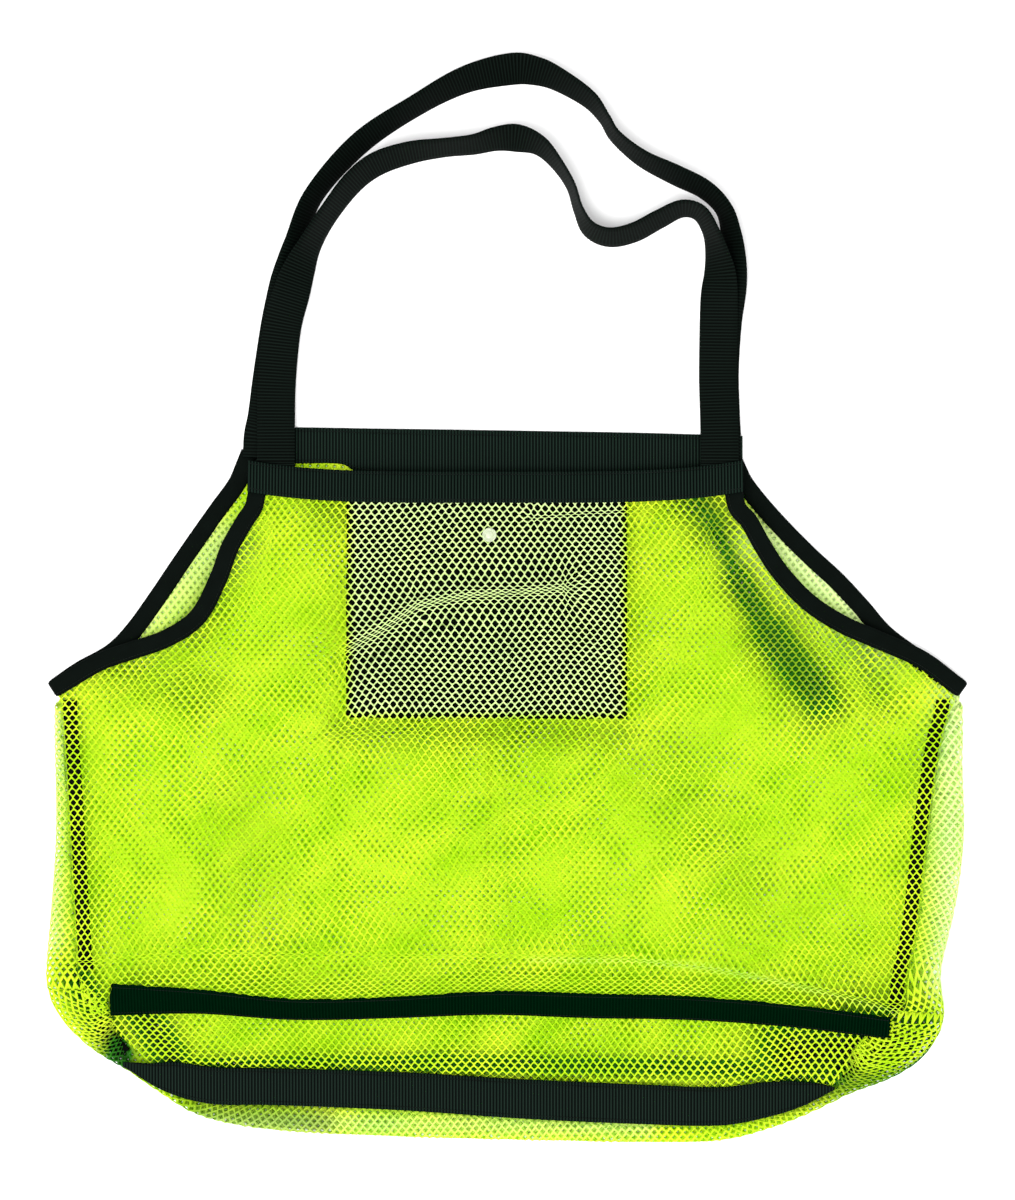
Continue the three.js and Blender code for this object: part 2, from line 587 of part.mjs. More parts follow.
// The back net's section at one station, from the ground up round the fold and in to the seam
function rimSection(station, inward) {
  const { fold, seam } = station;
  const radius = Math.max(seam.z * 0.42, netThickness);
  const section = [];
  for (const angle of [0, 30, 60, 90]) {
    const turn = THREE.MathUtils.degToRad(angle);
    const point = fold.clone().addScaledVector(inward, radius * (1 - Math.sin(turn)) + netThickness / 2);
    point.z = netMiddleZ + radius * (1 - Math.cos(turn));
    section.push(point);
  }
  const side = section[section.length - 1];
  const knee = side.clone();
  knee.z = mix(side.z, seam.z, 0.85);
  const end = seam.clone();
  const reach = Math.hypot(end.x - side.x, end.y - side.y);
  end.lerp(new THREE.Vector3(side.x, side.y, end.z), Math.min(seamGap / 2 / reach, 0.5));
  const curve = new THREE.QuadraticBezierCurve3(side, knee, end);
  return section.concat([curve.getPoint(0.35), curve.getPoint(0.7), curve.getPoint(1)]);
}

// The back net: a flat sheet on the ground whose rim folds up and in to the seams
function backPanel() {
  const stations = rimStations();
  const sections = stations.map((station, k) => {
    const before = stations[Math.max(k - 1, 0)].fold;
    const after = stations[Math.min(k + 1, stations.length - 1)].fold;
    const way = new THREE.Vector3().subVectors(after, before).setZ(0).normalize();
    return rimSection(station, new THREE.Vector3(-way.y, way.x, 0));
  });
  const numbers = (list) => list.map((_, n) => n);
  const grid = makeGrid((k, ring) => sections[k][ring], numbers(sections), numbers(sections[0]));
  grid.normals.forEach((line) => line[0].set(0, 0, -1));
  const rim = layerFaces(grid, -netThickness / 2, netThickness / 2, true);

  const edgeRight = offsetLine(rightBack, bindingWidth + seamGap).reverse();
  const edgeLeft = offsetLine(leftBack, -bindingWidth - seamGap);
  const topY = backBandLowY() - gap;
  const topRight = new THREE.Vector3(edgeRight[edgeRight.length - 1].x, topY, 0);
  const topLeft = new THREE.Vector3(edgeLeft[0].x, topY, 0);
  const free = [...edgeRight, topRight, topLeft, ...edgeLeft];
  const start = rim.vertices.length;
  for (const side of [1, -1]) {
    free.forEach((point) => rim.vertices.push(point.clone().setZ(netMiddleZ + side * netMiddleZ)));
  }
  const outline = numbers(sections).map((k) => [rim.index(0, k, 0), rim.index(1, k, 0)]);
  numbers(free).forEach((n) => outline.push([start + n, start + free.length + n]));
  const contour = outline.map(([upper]) => new THREE.Vector2(rim.vertices[upper].x, rim.vertices[upper].y));
  for (const [a, b, c] of THREE.ShapeUtils.triangulateShape(contour, [])) {
    rim.triangles.push(outline[a][0], outline[b][0], outline[c][0]);
    rim.triangles.push(outline[a][1], outline[c][1], outline[b][1]);
  }
  for (let n = sections.length - 1; n < outline.length; n += 1) {
    const [upper, lower] = outline[n];
    const [nextUpper, nextLower] = outline[(n + 1) % outline.length];
    rim.quad(lower, nextLower, nextUpper, upper);
  }
  return closedGeometry(rim.vertices, rim.triangles);
}

function backBandLowY() {
  return mouthY + backBandRise - backBandWidth;
}

function frontBand() {
  const point = (u, row) => {
    const x = mix(mouthLeft, mouthRight, u);
    const z = readTable(swell, 'lift', 1) * crestDepth - row * bandDrop;
    return new THREE.Vector3(x, mix(bandLowY(x), bandHighY(x), row), z);
  };
  return sheetGeometry(point, shares(20), [0, 1], bandThickness);
}

function backBand() {
  const point = (u, row) => {
    const x = mix(mouthLeft, mouthRight, u);
    return new THREE.Vector3(x, backBandLowY() + row * backBandWidth, bandThickness / 2);
  };
  return sheetGeometry(point, shares(8), [0, 1], bandThickness);
}

// One tape round a shoulder: along the front net's edge, over at the corner and back along the other
function binding(front, back, inward) {
  const frontInner = offsetLine(front, inward * bindingWidth);
  const backInner = offsetLine(back, inward * bindingWidth);
  const last = front.length - 1;
  const turnSteps = 5;
  const pairs = front.map((outer, k) => [outer, frontInner[k]]);
  const way = new THREE.Vector3().subVectors(front[last], front[last - 1]).setZ(0).normalize();
  for (let k = 1; k < turnSteps; k += 1) {
    const angle = Math.PI * k / turnSteps;
    const pair = [[front, back], [frontInner, backInner]].map(([from, to]) => {
      const point = new THREE.Vector3().lerpVectors(from[last], to[last], (1 - Math.cos(angle)) / 2);
      return point.addScaledVector(way, Math.sin(angle) * (from[last].z - to[last].z) / 2);
    });
    pairs.push(pair);
  }
  for (let k = last; k >= 0; k -= 1) pairs.push([back[k], backInner[k]]);
  const rows = inward < 0 ? [0, 1] : [1, 0];
  const flip = (k, row) => pairs[k][rows[row]].clone();
  return sheetGeometry(flip, pairs.map((_, k) => k), [0, 1], bindingThickness);
}

function frontBaseWebbing() {
  const point = (u, row) => {
    const x = mix(lipLeftShare, lipRightShare, u) * halfBody;
    return new THREE.Vector3(x, mix(lipLowY(x), lipHighY(x), row), mix(lipLowZ(x), lipHighZ(x), row));
  };
  return sheetGeometry(point, shares(24), [0, 1], webbingThickness);
}

function heelPoint(u, row) {
  const point = seamPoint(heel, mix(heelStartShare, heelEndShare, u));
  const width = readTable(heelShow, 'width', u) * webbingWidth;
  point.y += seamGap / 2 + row * width;
  point.z += row * width * heelSlope;
  return point;
}

function backBaseWebbing() {
  return sheetGeometry(heelPoint, shares(24), [0, 1], webbingThickness);
}

function basePoint(u, at) {
  const x = mix(lipLeftShare, lipRightShare, u) * halfBody;
  const seat = (webbingThickness + netThickness) / 2 + gap;
  const start = new THREE.Vector3(x, lipLowY(x), lipLowZ(x) - seat);
  const end = heelPoint(u, 1);
  end.y += gap;
  const depth = Math.sqrt(Math.sin(Math.PI * clamp(u, 0, 1)));
  const run = mix(at, readTable(pleat, 'run', at), depth);
  const lift = mix(1 - at, readTable(pleat, 'lift', at), depth);
  const point = new THREE.Vector3().lerpVectors(start, end, run);
  point.z = mix(end.z, start.z, lift);
  return point;
}

function basePanel() {
  return sheetGeometry((u, at) => basePoint(u, 1 - at), shares(22), shares(9), netThickness);
}

// A short tape along a base end seam, inside the bag under the nets that meet there
function baseTape(rows, from, to, steps) {
  const line = shares(steps).map((share) => seamPoint(rows, mix(from, to, share)));
  const edges = [offsetLine(line, -tapeWidth - edgeGap), offsetLine(line, -edgeGap)];
  const point = (k, row) => edges[1 - row][k].clone().setZ(line[k].z - baseTapeDrop);
  return sheetGeometry(point, line.map((_, k) => k), [0, 1], tapeThickness);
}

// What is sewn behind the front band keeps a gap below it
function underBand(x, y) {
  const share = (y - bandLowY(x)) / bandRun;
  if (share > 1.1) return Infinity;
  const band = readTable(swell, 'lift', 1) * crestDepth - share * bandDrop;
  return band - (bandThickness + webbingThickness) / 2 - 2 * gap;
}

function handle(path, steps, ceiling) {
  const at = shares(steps);
  const centre = at.map((share) => new THREE.Vector3(
    mouthShift + readTable(path, 'across', share) * mouthWidth,
    mouthY + readTable(path, 'up', share) * handleReach,
    readTable(path, 'lift', share) * webbingWidth,
  ));
  const point = (k, row) => {
    const before = centre[Math.max(k - 1, 0)];
    const after = centre[Math.min(k + 1, steps)];
    const way = new THREE.Vector2(after.x - before.x, after.y - before.y).normalize();
    const turn = THREE.MathUtils.degToRad(readTable(path, 'turn', at[k]));
    const side = new THREE.Vector3(-way.y * Math.cos(turn), way.x * Math.cos(turn), Math.sin(turn));
    const middle = centre[k].clone();
    middle.z += webbingWidth / 2 * Math.sin(turn) + webbingThickness / 2 * Math.cos(turn);
    middle.z = Math.min(middle.z, ceiling(middle.x, middle.y));
    return middle.addScaledVector(side, (row - 0.5) * webbingWidth);
  };
  return sheetGeometry(point, at.map((_, k) => k), [0, 1], webbingThickness);
}

// Half a press stud: a round button with a rim, a step and a raised middle, on the net's own slope
function snapHalf(profile, distance, side) {
  const x = mouthShift + snapShift;
  const y = bandLowY(x) - snapDrop;
  const reach = snapDiameter / 2;
  const slopeX = (frontHeight(x + reach, y) - frontHeight(x - reach, y)) / snapDiameter;
  const slopeY = (frontHeight(x, y + reach) - frontHeight(x, y - reach)) / snapDiameter;
  const normal = new THREE.Vector3(-slopeX, -slopeY, 1).normalize();
  const points = profile.map(({ out, up }) => new THREE.Vector2(out * reach, up * snapThickness));
  const geometry = new THREE.LatheGeometry(points, 16);
  geometry.rotateX(Math.PI / 2);
  if (side < 0) geometry.rotateX(Math.PI);
  const turn = new THREE.Quaternion().setFromUnitVectors(new THREE.Vector3(0, 0, 1), normal);
  geometry.applyQuaternion(turn);
  const place = new THREE.Vector3(x, y, frontHeight(x, y)).addScaledVector(normal, distance);
  geometry.translate(place.x, place.y, place.z);
  return geometry;
}

const capProfile = [
  { out: 0, up: 0 }, { out: 0.9, up: 0 }, { out: 1, up: 0.2 }, { out: 1, up: 0.45 },
  { out: 0.85, up: 0.7 }, { out: 0.6, up: 0.75 }, { out: 0.5, up: 1 }, { out: 0, up: 1 },
];
const socketProfile = [
  { out: 0, up: 0 }, { out: 0.8, up: 0 }, { out: 0.8, up: 0.5 }, { out: 0.5, up: 0.8 }, { out: 0, up: 0.8 },
];

const bag = new THREE.Group();

function addPiece(name, geometry, color, roughness) {
  const material = new THREE.MeshStandardMaterial({ color, roughness, metalness: 0 });
  const mesh = new THREE.Mesh(geometry, material);
  mesh.name = name;
  bag.add(mesh);
}

addPiece('front_panel', frontPanel(), netGreen, 0.6);
addPiece('back_panel', backPanel(), netGreen, 0.6);
addPiece('base_panel', basePanel(), netGreen, 0.6);
addPiece('front_top_band', frontBand(), webBlack, 0.8);
addPiece('back_top_band', backBand(), webBlack, 0.8);
addPiece('left_binding', binding(leftFront, leftBack, -1), webBlack, 0.8);
addPiece('right_binding', binding(rightFront, rightBack, 1), webBlack, 0.8);
addPiece('left_side_tape', underFront(0, 1, frontRows[2], 3, tapeThickness), webBlack, 0.8);
addPiece('right_side_tape', underFront(4, 5, frontRows[2], 3, tapeThickness), webBlack, 0.8);
addPiece('front_base_webbing', frontBaseWebbing(), webBlack, 0.8);
addPiece('back_base_webbing', backBaseWebbing(), webBlack, 0.8);
addPiece('left_base_tape', baseTape(leftBase, 0.42, 0.9, 8), webBlack, 0.8);
addPiece('right_base_tape', baseTape(rightBase, 0.1, 0.6, 8), webBlack, 0.8);
addPiece('front_handle', handle(frontHandlePath, 70, underBand), webBlack, 0.8);
addPiece('back_handle', handle(backHandlePath, 70, () => Infinity), webBlack, 0.8);
addPiece('pocket', underFront(2, 3, 2, 4, pocketThickness), webBlack, 0.9);
addPiece('snap_cap', snapHalf(capProfile, snapSeat, 1), snapClear, 0.25);
addPiece('snap_socket', snapHalf(socketProfile, -snapSeat - gap - pocketThickness, -1), snapClear, 0.25);

export default bag;
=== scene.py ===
import math

import bpy
import numpy as np
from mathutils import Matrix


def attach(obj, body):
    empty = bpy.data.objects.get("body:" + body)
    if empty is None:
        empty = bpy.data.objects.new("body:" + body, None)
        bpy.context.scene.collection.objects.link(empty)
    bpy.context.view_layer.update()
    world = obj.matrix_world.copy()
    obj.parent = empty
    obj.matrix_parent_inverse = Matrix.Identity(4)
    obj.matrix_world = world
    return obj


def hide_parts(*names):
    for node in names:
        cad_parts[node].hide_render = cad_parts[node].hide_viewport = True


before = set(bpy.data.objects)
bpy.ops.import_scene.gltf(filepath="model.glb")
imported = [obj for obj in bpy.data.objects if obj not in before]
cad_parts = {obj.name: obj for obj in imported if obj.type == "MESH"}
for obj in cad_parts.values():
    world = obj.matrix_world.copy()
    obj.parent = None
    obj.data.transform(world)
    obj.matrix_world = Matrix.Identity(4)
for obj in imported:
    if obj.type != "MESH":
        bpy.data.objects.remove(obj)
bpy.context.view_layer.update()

# A beach tote of knitted lime net with black webbing, lying on its back.
# Metres: +X across the bag, +Y from its bottom fold to its handles, +Z up from the ground.
mm = 0.001

bag = {
    "bodyWidth": 485 * mm, "bodyHeight": 359 * mm, "cornerHeight": 243 * mm, "crestDepth": 50 * mm,
    "mouthWidth": 260 * mm, "mouthShift": -6 * mm, "mouthDroop": 6 * mm, "handleReach": 213.5 * mm,
    "gap": 0.3 * mm, "seamGap": 0.8 * mm, "edgeGap": 1.1 * mm,
}
halfBody = bag["bodyWidth"] / 2
bottomY = -(bag["bodyHeight"] + bag["handleReach"]) / 2
cornerY = bottomY + bag["cornerHeight"]
mouthY = bottomY + bag["bodyHeight"]
mouthLeft = bag["mouthShift"] - bag["mouthWidth"] / 2
mouthRight = bag["mouthShift"] + bag["mouthWidth"] / 2

webbing = {"width": 20 * mm, "thickness": 1.4 * mm, "ribs": 1.65 * mm}
band = {
    "width": 17.5 * mm, "slope": 0.35, "thickness": 1.6 * mm,
    "backRise": 17 * mm, "backWidth": 18.5 * mm,
}
binding = {
    "width": 9.5 * mm, "thickness": 1.8 * mm, "tip": 4 * mm, "tipWidth": 0.78,
    "frontTuck": 7 * mm, "frontSink": 2.3 * mm, "backTuck": 9 * mm,
}
pocket = {
    "width": 147 * mm, "height": 113 * mm, "shift": -4.5 * mm, "thickness": 1 * mm, "hem": 7 * mm,
    # pale: how much the net's thread over the pocket is painted paler, a painted pale light; fade: over what
    # distance from the pocket's edges it comes in
    "pale": 0.85, "fade": 5 * mm,
}
tape = {"width": 8 * mm, "thickness": 1 * mm, "drop": 3.6 * mm, "end": 0.6}
bandRun = band["width"] * math.cos(band["slope"])
bandDrop = band["width"] * math.sin(band["slope"])


# Tables of shares, read as smooth curves

def table(columns, *rows):
    return {"columns": columns.split(), "rows": np.array(rows, dtype=float)}


def readTable(source, column, at):
    rows = source["rows"]
    values = rows[:, source["columns"].index(column)]
    keys = np.linspace(0, 1, len(rows))
    if "at" in source["columns"]:
        keys = rows[:, source["columns"].index("at")]
    at = np.clip(at, keys[0], keys[-1])
    slopes = np.empty(len(rows))
    slopes[1:-1] = (values[2:] - values[:-2]) / (keys[2:] - keys[:-2])
    slopes[0] = (values[1] - values[0]) / (keys[1] - keys[0])
    slopes[-1] = (values[-1] - values[-2]) / (keys[-1] - keys[-2])
    k = np.clip(np.searchsorted(keys, at), 1, len(keys) - 1)
    span = keys[k] - keys[k - 1]
    t = (at - keys[k - 1]) / span
    bend = t * t * (3 - 2 * t)
    curve = values[k - 1] + (values[k] - values[k - 1]) * bend
    return curve + slopes[k - 1] * span * t * (1 - t) ** 2 - slopes[k] * span * t * t * (1 - t)


# Each side seam from its corner down to the base: fold is the outermost line that the net turns
# round, seam the line on top where front and back meet
rimColumns = "foldAcross foldUp seamAcross seamUp lift"
leftSide = table(
    rimColumns,
    (-0.982, 0.94, -0.965, 0.935, 0.09), (-0.982, 0.874, -0.96, 0.874, 0.14),
    (-0.977, 0.711, -0.949, 0.711, 0.2), (-0.984, 0.56, -0.94, 0.56, 0.24),
    (-0.997, 0.408, -0.93, 0.408, 0.27), (-1, 0.34, -0.917, 0.335, 0.28),
)
leftBase = table(
    rimColumns,
    (-1, 0.34, -0.917, 0.335, 0.28), (-0.972, 0.276, -0.899, 0.275, 0.22),
    (-0.903, 0.204, -0.872, 0.212, 0.14), (-0.81, 0.15, -0.832, 0.166, 0.1),
)
heel = table(
    rimColumns,
    (-0.81, 0.15, -0.832, 0.166, 0.1), (-0.74, 0.1, -0.74, 0.112, 0.1),
    (-0.66, 0.055, -0.64, 0.085, 0.095), (-0.507, 0.026, -0.5, 0.082, 0.09),
    (-0.23, 0.012, -0.23, 0.071, 0.09), (0.03, 0.005, 0.03, 0.053, 0.09), (0.29, 0, 0.29, 0.041, 0.09),
    (0.46, 0.003, 0.46, 0.038, 0.09), (0.575, 0.032, 0.56, 0.055, 0.095), (0.66, 0.065, 0.64, 0.08, 0.1),
    (0.745, 0.107, 0.718, 0.12, 0.11),
)
rightBase = table(
    rimColumns,
    (0.745, 0.107, 0.718, 0.12, 0.11), (0.825, 0.136, 0.76, 0.154, 0.16),
    (0.893, 0.176, 0.795, 0.195, 0.22), (0.937, 0.234, 0.838, 0.24, 0.29),
    (0.952, 0.284, 0.857, 0.286, 0.36),
)
rightSide = table(
    rimColumns,
    (0.952, 0.284, 0.857, 0.286, 0.36), (0.939, 0.364, 0.866, 0.364, 0.32),
    (0.959, 0.451, 0.885, 0.451, 0.28), (0.98, 0.549, 0.898, 0.549, 0.25),
    (0.993, 0.679, 0.913, 0.679, 0.22), (0.989, 0.809, 0.931, 0.809, 0.18),
    (0.991, 0.88, 0.945, 0.885, 0.14), (0.991, 0.935, 0.96, 0.93, 0.09),
)

# Outer edge of each shoulder's binding from the mouth to the corner
shoulderColumns = "at frontOut frontUp backOut backUp lift"
leftShoulder = table(
    shoulderColumns,
    (0, 0, 0.842, 0.064, 0.98, 0.27), (0.05, 0.01, 0.802, 0.095, 0.915, 0.27),
    (0.13, 0.05, 0.747, 0.178, 0.81, 0.26), (0.25, 0.128, 0.62, 0.286, 0.67, 0.25),
    (0.37, 0.183, 0.484, 0.385, 0.538, 0.23), (0.5, 0.277, 0.321, 0.484, 0.403, 0.2),
    (0.63, 0.42, 0.231, 0.598, 0.258, 0.17), (0.75, 0.593, 0.176, 0.7, 0.163, 0.14),
    (0.87, 0.756, 0.122, 0.849, 0.086, 0.11), (1, 0.973, 0.005, 0.978, 0.005, 0.07),
)
rightShoulder = table(
    shoulderColumns,
    (0, 0, 0.842, 0.013, 0.98, 0.27), (0.05, 0.01, 0.802, 0.042, 0.92, 0.27),
    (0.13, 0.055, 0.751, 0.11, 0.83, 0.26), (0.25, 0.115, 0.643, 0.208, 0.719, 0.25),
    (0.37, 0.19, 0.525, 0.327, 0.597, 0.23), (0.5, 0.31, 0.394, 0.447, 0.484, 0.2),
    (0.63, 0.451, 0.299, 0.558, 0.362, 0.17), (0.75, 0.611, 0.226, 0.659, 0.244, 0.14),
    (0.87, 0.81, 0.136, 0.796, 0.14, 0.11), (1, 0.985, 0.004, 0.989, 0.004, 0.07),
)

# The front bottom webbing: up is its lower edge, rise how much of its width shows from above,
# crest the crest's distance beyond it
lipEnds = (-0.885, 0.820)
lipShown = (-0.857, 0.826)
lip = table(
    "at up rise lift crest",
    (0, 0.278, 0.9, 0.19, 0.5), (0.125, 0.284, 0.68, 0.26, 0.95), (0.25, 0.271, 0.6, 0.29, 1.16),
    (0.375, 0.275, 0.6, 0.3, 1.08), (0.5, 0.282, 0.66, 0.3, 0.95), (0.625, 0.275, 0.68, 0.3, 1),
    (0.75, 0.271, 0.66, 0.3, 0.79), (0.875, 0.256, 0.63, 0.28, 0.55), (1, 0.23, 0.6, 0.24, 0.3),
)
heelShow = table(
    "at width",
    (0, 0.12), (0.052, 0.45), (0.123, 0.87), (0.194, 0.97), (0.303, 0.97), (0.557, 1.05), (0.779, 0.98),
    (0.84, 0.87), (0.871, 0.8), (0.943, 0.47), (1, 0.06),
)
swell = table(
    "at lift",
    (0, 1), (0.08, 0.96), (0.2, 0.84), (0.4, 0.68), (0.6, 0.56), (0.8, 0.42), (1, 0.28),
)
pleat = table(
    "at run lift",
    (0, 0, 1), (0.18, -0.42, 0.86), (0.34, -0.62, 0.62), (0.5, -0.3, 0.42), (0.7, 0.35, 0.3),
    (0.88, 0.8, 0.12), (1, 1, 0),
)

# Folds in the front net. across: of half the body's width. up: of the body's height.
# reach: half the fold's width, and height: its depth, both of the crest's depth.
foldColumns = "fromAcross fromUp toAcross toUp reach height"
folds = table(
    foldColumns,
    (0.42, 0.94, 0.56, 0.8, 0.16, 0.1), (0.56, 0.8, 0.7, 0.63, 0.2, 0.12),
    (0.78, 0.7, 0.86, 0.52, 0.2, -0.08), (-0.34, 0.73, -0.08, 0.8, 0.16, 0.08),
    (-0.08, 0.8, 0.16, 0.81, 0.16, 0.08), (-0.52, 0.8, -0.7, 0.6, 0.22, -0.08),
    (-0.75, 0.5, -0.45, 0.36, 0.26, 0.07), (0.3, 0.42, 0.7, 0.34, 0.26, -0.07),
)
# Narrow creases that crowd the net's cells together
creases = table(
    foldColumns,
    (0.42, 0.93, 0.52, 0.81, 0.07, 0.06), (0.52, 0.81, 0.7, 0.63, 0.08, 0.075),
    (-0.35, 0.725, -0.27, 0.755, 0.07, 0.07), (-0.27, 0.755, -0.19, 0.787, 0.07, 0.08),
    (-0.19, 0.787, -0.08, 0.8, 0.07, 0.085), (-0.08, 0.8, 0.12, 0.81, 0.07, 0.055),
    (-0.3, 0.71, -0.12, 0.765, 0.06, -0.04), (0.07, 0.918, 0.29, 0.925, 0.05, 0.05),
    (-0.36, 0.61, 0.25, 0.6, 0.1, -0.05), (-0.9, 0.42, -0.6, 0.33, 0.07, 0.05),
    (0.5, 0.31, 0.8, 0.27, 0.07, 0.05),
)


# Where the back net lies in shade between the layers. deep: how dark, 1 green and 2 nearly black.
shades = table(
    "fromAcross fromUp toAcross toUp reach deep",
    (0.4, 0.95, 0.45, 0.905, 0.26, 1), (0.45, 0.905, 0.5, 0.83, 0.13, 1.1),
    (0.5, 0.83, 0.57, 0.747, 0.19, 1.3), (0.57, 0.747, 0.68, 0.65, 0.27, 1.4),
    (0.76, 0.73, 0.81, 0.65, 0.24, 0.45), (-0.58, 0.88, -0.68, 0.75, 0.2, 0.55),
    (-0.4, 0.93, -0.28, 0.93, 0.2, 0.5), (-0.86, 0.7, -0.66, 0.66, 0.3, 0.4),
    (-0.36, 0.605, 0.25, 0.6, 0.18, 0.4), (0.62, 0.13, 0.86, 0.15, 0.42, 2),
    (-0.8, 0.2, -0.72, 0.12, 0.2, 1.9), (-0.74, 0.112, -0.2, 0.118, 0.11, 1.5),
    (-0.2, 0.118, 0.62, 0.108, 0.12, 1.5), (-0.93, 0.24, -0.84, 0.13, 0.16, 1.8),
    (-0.7, 0.05, -0.4, 0.03, 0.16, 0.5), (0.34, 0.56, 0.52, 0.38, 0.4, 0.18),
    (-0.6, 0.5, -0.52, 0.3, 0.4, 0.15),
)


# The same on the front net's own thread, in the deepest fold
frontShades = table(
    "fromAcross fromUp toAcross toUp reach deep",
    (0.41, 0.95, 0.45, 0.905, 0.16, 0.55), (0.45, 0.905, 0.51, 0.815, 0.1, 0.6),
    (0.51, 0.815, 0.57, 0.747, 0.13, 0.65), (0.57, 0.747, 0.66, 0.668, 0.19, 0.62),
)


# Wrinkles that crowd the front net's cells: points of each line by across and up, how far the
# crowding reaches and how strong it is
gathers = [
    {"line": ((-0.35, 0.722), (-0.27, 0.752), (-0.19, 0.788), (-0.08, 0.802), (0.02, 0.806), (0.12, 0.812)),
     "reach": 11 * mm, "pull": 0.60},
    {"line": ((0.06, 0.915), (0.16, 0.922), (0.29, 0.926)), "reach": 5 * mm, "pull": 0.55},
    {"line": ((-0.62, 0.52), (-0.50, 0.57), (-0.38, 0.60), (-0.20, 0.605)), "reach": 10 * mm, "pull": 0.38},
    {"line": ((0.28, 0.62), (0.36, 0.70), (0.42, 0.80), (0.44, 0.90)), "reach": 9 * mm, "pull": 0.42},
    {"line": ((0.58, 0.86), (0.68, 0.74), (0.78, 0.66), (0.86, 0.60)), "reach": 9 * mm, "pull": 0.45},
    {"line": ((-0.10, 0.46), (0.06, 0.50), (0.22, 0.49), (0.36, 0.44)), "reach": 12 * mm, "pull": 0.36},
    {"line": ((-0.45, 0.40), (-0.30, 0.36), (-0.12, 0.37), (0.04, 0.35)), "reach": 10 * mm, "pull": 0.34},
    {"line": ((0.40, 0.40), (0.52, 0.44), (0.68, 0.42)), "reach": 10 * mm, "pull": 0.36},
    {"line": ((-0.80, 0.66), (-0.70, 0.60), (-0.64, 0.50)), "reach": 9 * mm, "pull": 0.36},
    {"line": ((-0.50, 0.90), (-0.56, 0.78), (-0.66, 0.70)), "reach": 9 * mm, "pull": 0.36},
    {"line": ((0.05, 0.276), (0.295, 0.274), (0.432, 0.264), (0.566, 0.246), (0.675, 0.227), (0.837, 0.196)),
     "reach": 4 * mm, "pull": 0.5},
]
crestGather = {"pull": 0.66, "reach": 5 * mm}    # the rows crowd along the crest too


# Lines of the bag

def offsetLine(line, distance):
    way = np.gradient(line[:, :2], axis=0)
    way /= np.linalg.norm(way, axis=1)[:, None]
    moved = line.copy()
    moved[:, 0] += way[:, 1] * distance
    moved[:, 1] -= way[:, 0] * distance
    return moved


def shoulderLine(source, mouthX, sideX, layer, steps=90):
    at = np.linspace(0, 1, steps + 1)
    out = readTable(source, layer + "Out", at)
    up = readTable(source, layer + "Up", at)
    lift = readTable(source, "lift", at) * bag["crestDepth"]
    if layer == "back":
        lift = np.full(len(at), binding["thickness"] / 2)
    return np.stack([mouthX + (sideX - mouthX) * out, cornerY + (mouthY - cornerY) * up, lift], axis=1)


def seamPoints(source, at):
    return np.stack([
        readTable(source, "seamAcross", at) * halfBody,
        bottomY + readTable(source, "seamUp", at) * bag["cornerHeight"],
        readTable(source, "lift", at) * bag["crestDepth"],
    ], axis=-1)


def foldPoints(source, at):
    return np.stack([
        readTable(source, "foldAcross", at) * halfBody,
        bottomY + readTable(source, "foldUp", at) * bag["cornerHeight"],
        np.zeros_like(at),
    ], axis=-1)


leftFront = shoulderLine(leftShoulder, mouthLeft, -halfBody, "front")
rightFront = shoulderLine(rightShoulder, mouthRight, halfBody, "front")
leftBack = shoulderLine(leftShoulder, mouthLeft, -halfBody, "back")
rightBack = shoulderLine(rightShoulder, mouthRight, halfBody, "back")


def frontEdge(outer, side, fromTop, inward, under):
    edge = offsetLine(outer, inward * (binding["width"] + bag["edgeGap"] - under))
    at = np.linspace(0, 1, 60)
    seam = seamPoints(side, at if fromTop else 1 - at)
    return np.vstack([edge, seam])


leftEdge = frontEdge(leftFront, leftSide, True, -1, 0)
rightEdge = frontEdge(rightFront, rightSide, False, 1, 0)


def edgeAt(edge, y):
    falling = np.minimum.accumulate(edge[:, 1])[::-1] + np.arange(len(edge)) * 1e-9
    return np.interp(y, falling, edge[::-1, 0]), np.interp(y, falling, edge[::-1, 2])


def lipShare(x):
    return np.clip((x / halfBody - lipEnds[0]) / (lipEnds[1] - lipEnds[0]), 0, 1)


def lipLowY(x):
    return bottomY + readTable(lip, "up", lipShare(x)) * bag["cornerHeight"]


def lipHighY(x):
    return lipLowY(x) + readTable(lip, "rise", lipShare(x)) * webbing["width"]


def lipLowZ(x):
    return readTable(lip, "lift", lipShare(x)) * bag["crestDepth"]


def lipHighZ(x):
    rise = readTable(lip, "rise", lipShare(x))
    return lipLowZ(x) + webbing["width"] * np.sqrt(1 - rise * rise)


def crestY(x):
    return lipHighY(x) + bag["seamGap"] + readTable(lip, "crest", lipShare(x)) * webbing["width"]


def bandHighY(x):
    share = np.clip((x - bag["mouthShift"]) / (bag["mouthWidth"] / 2), -1, 1)
    return mouthY - bag["mouthDroop"] * (1 - share ** 4)


def bandLowY(x):
    return bandHighY(x) - bandRun


backBandLowY = mouthY + band["backRise"] - band["backWidth"]
# The back band sags behind the front one, all but a gap at the left, and sinks a little to the right.
# low and high: how far, in millimetres.
backBandHang = table(
    "at low high",
    (0, 0, 0.5), (0.1, 0.2, 0.5), (0.19, 0.4, 0.2), (0.225, 5, 0), (0.4, 8, -0.6), (0.63, 8, -1.6),
    (0.8, 6, -2.4), (1, 3, -4),
)


# The front net's surface. Its crest is a soft fold, and its edges are tucked under the bindings.
crestFold = {"reach": 3.2 * mm, "height": 2.2 * mm}
edgeTuck = {"slope": 0.45, "deepest": 1.3 * mm}


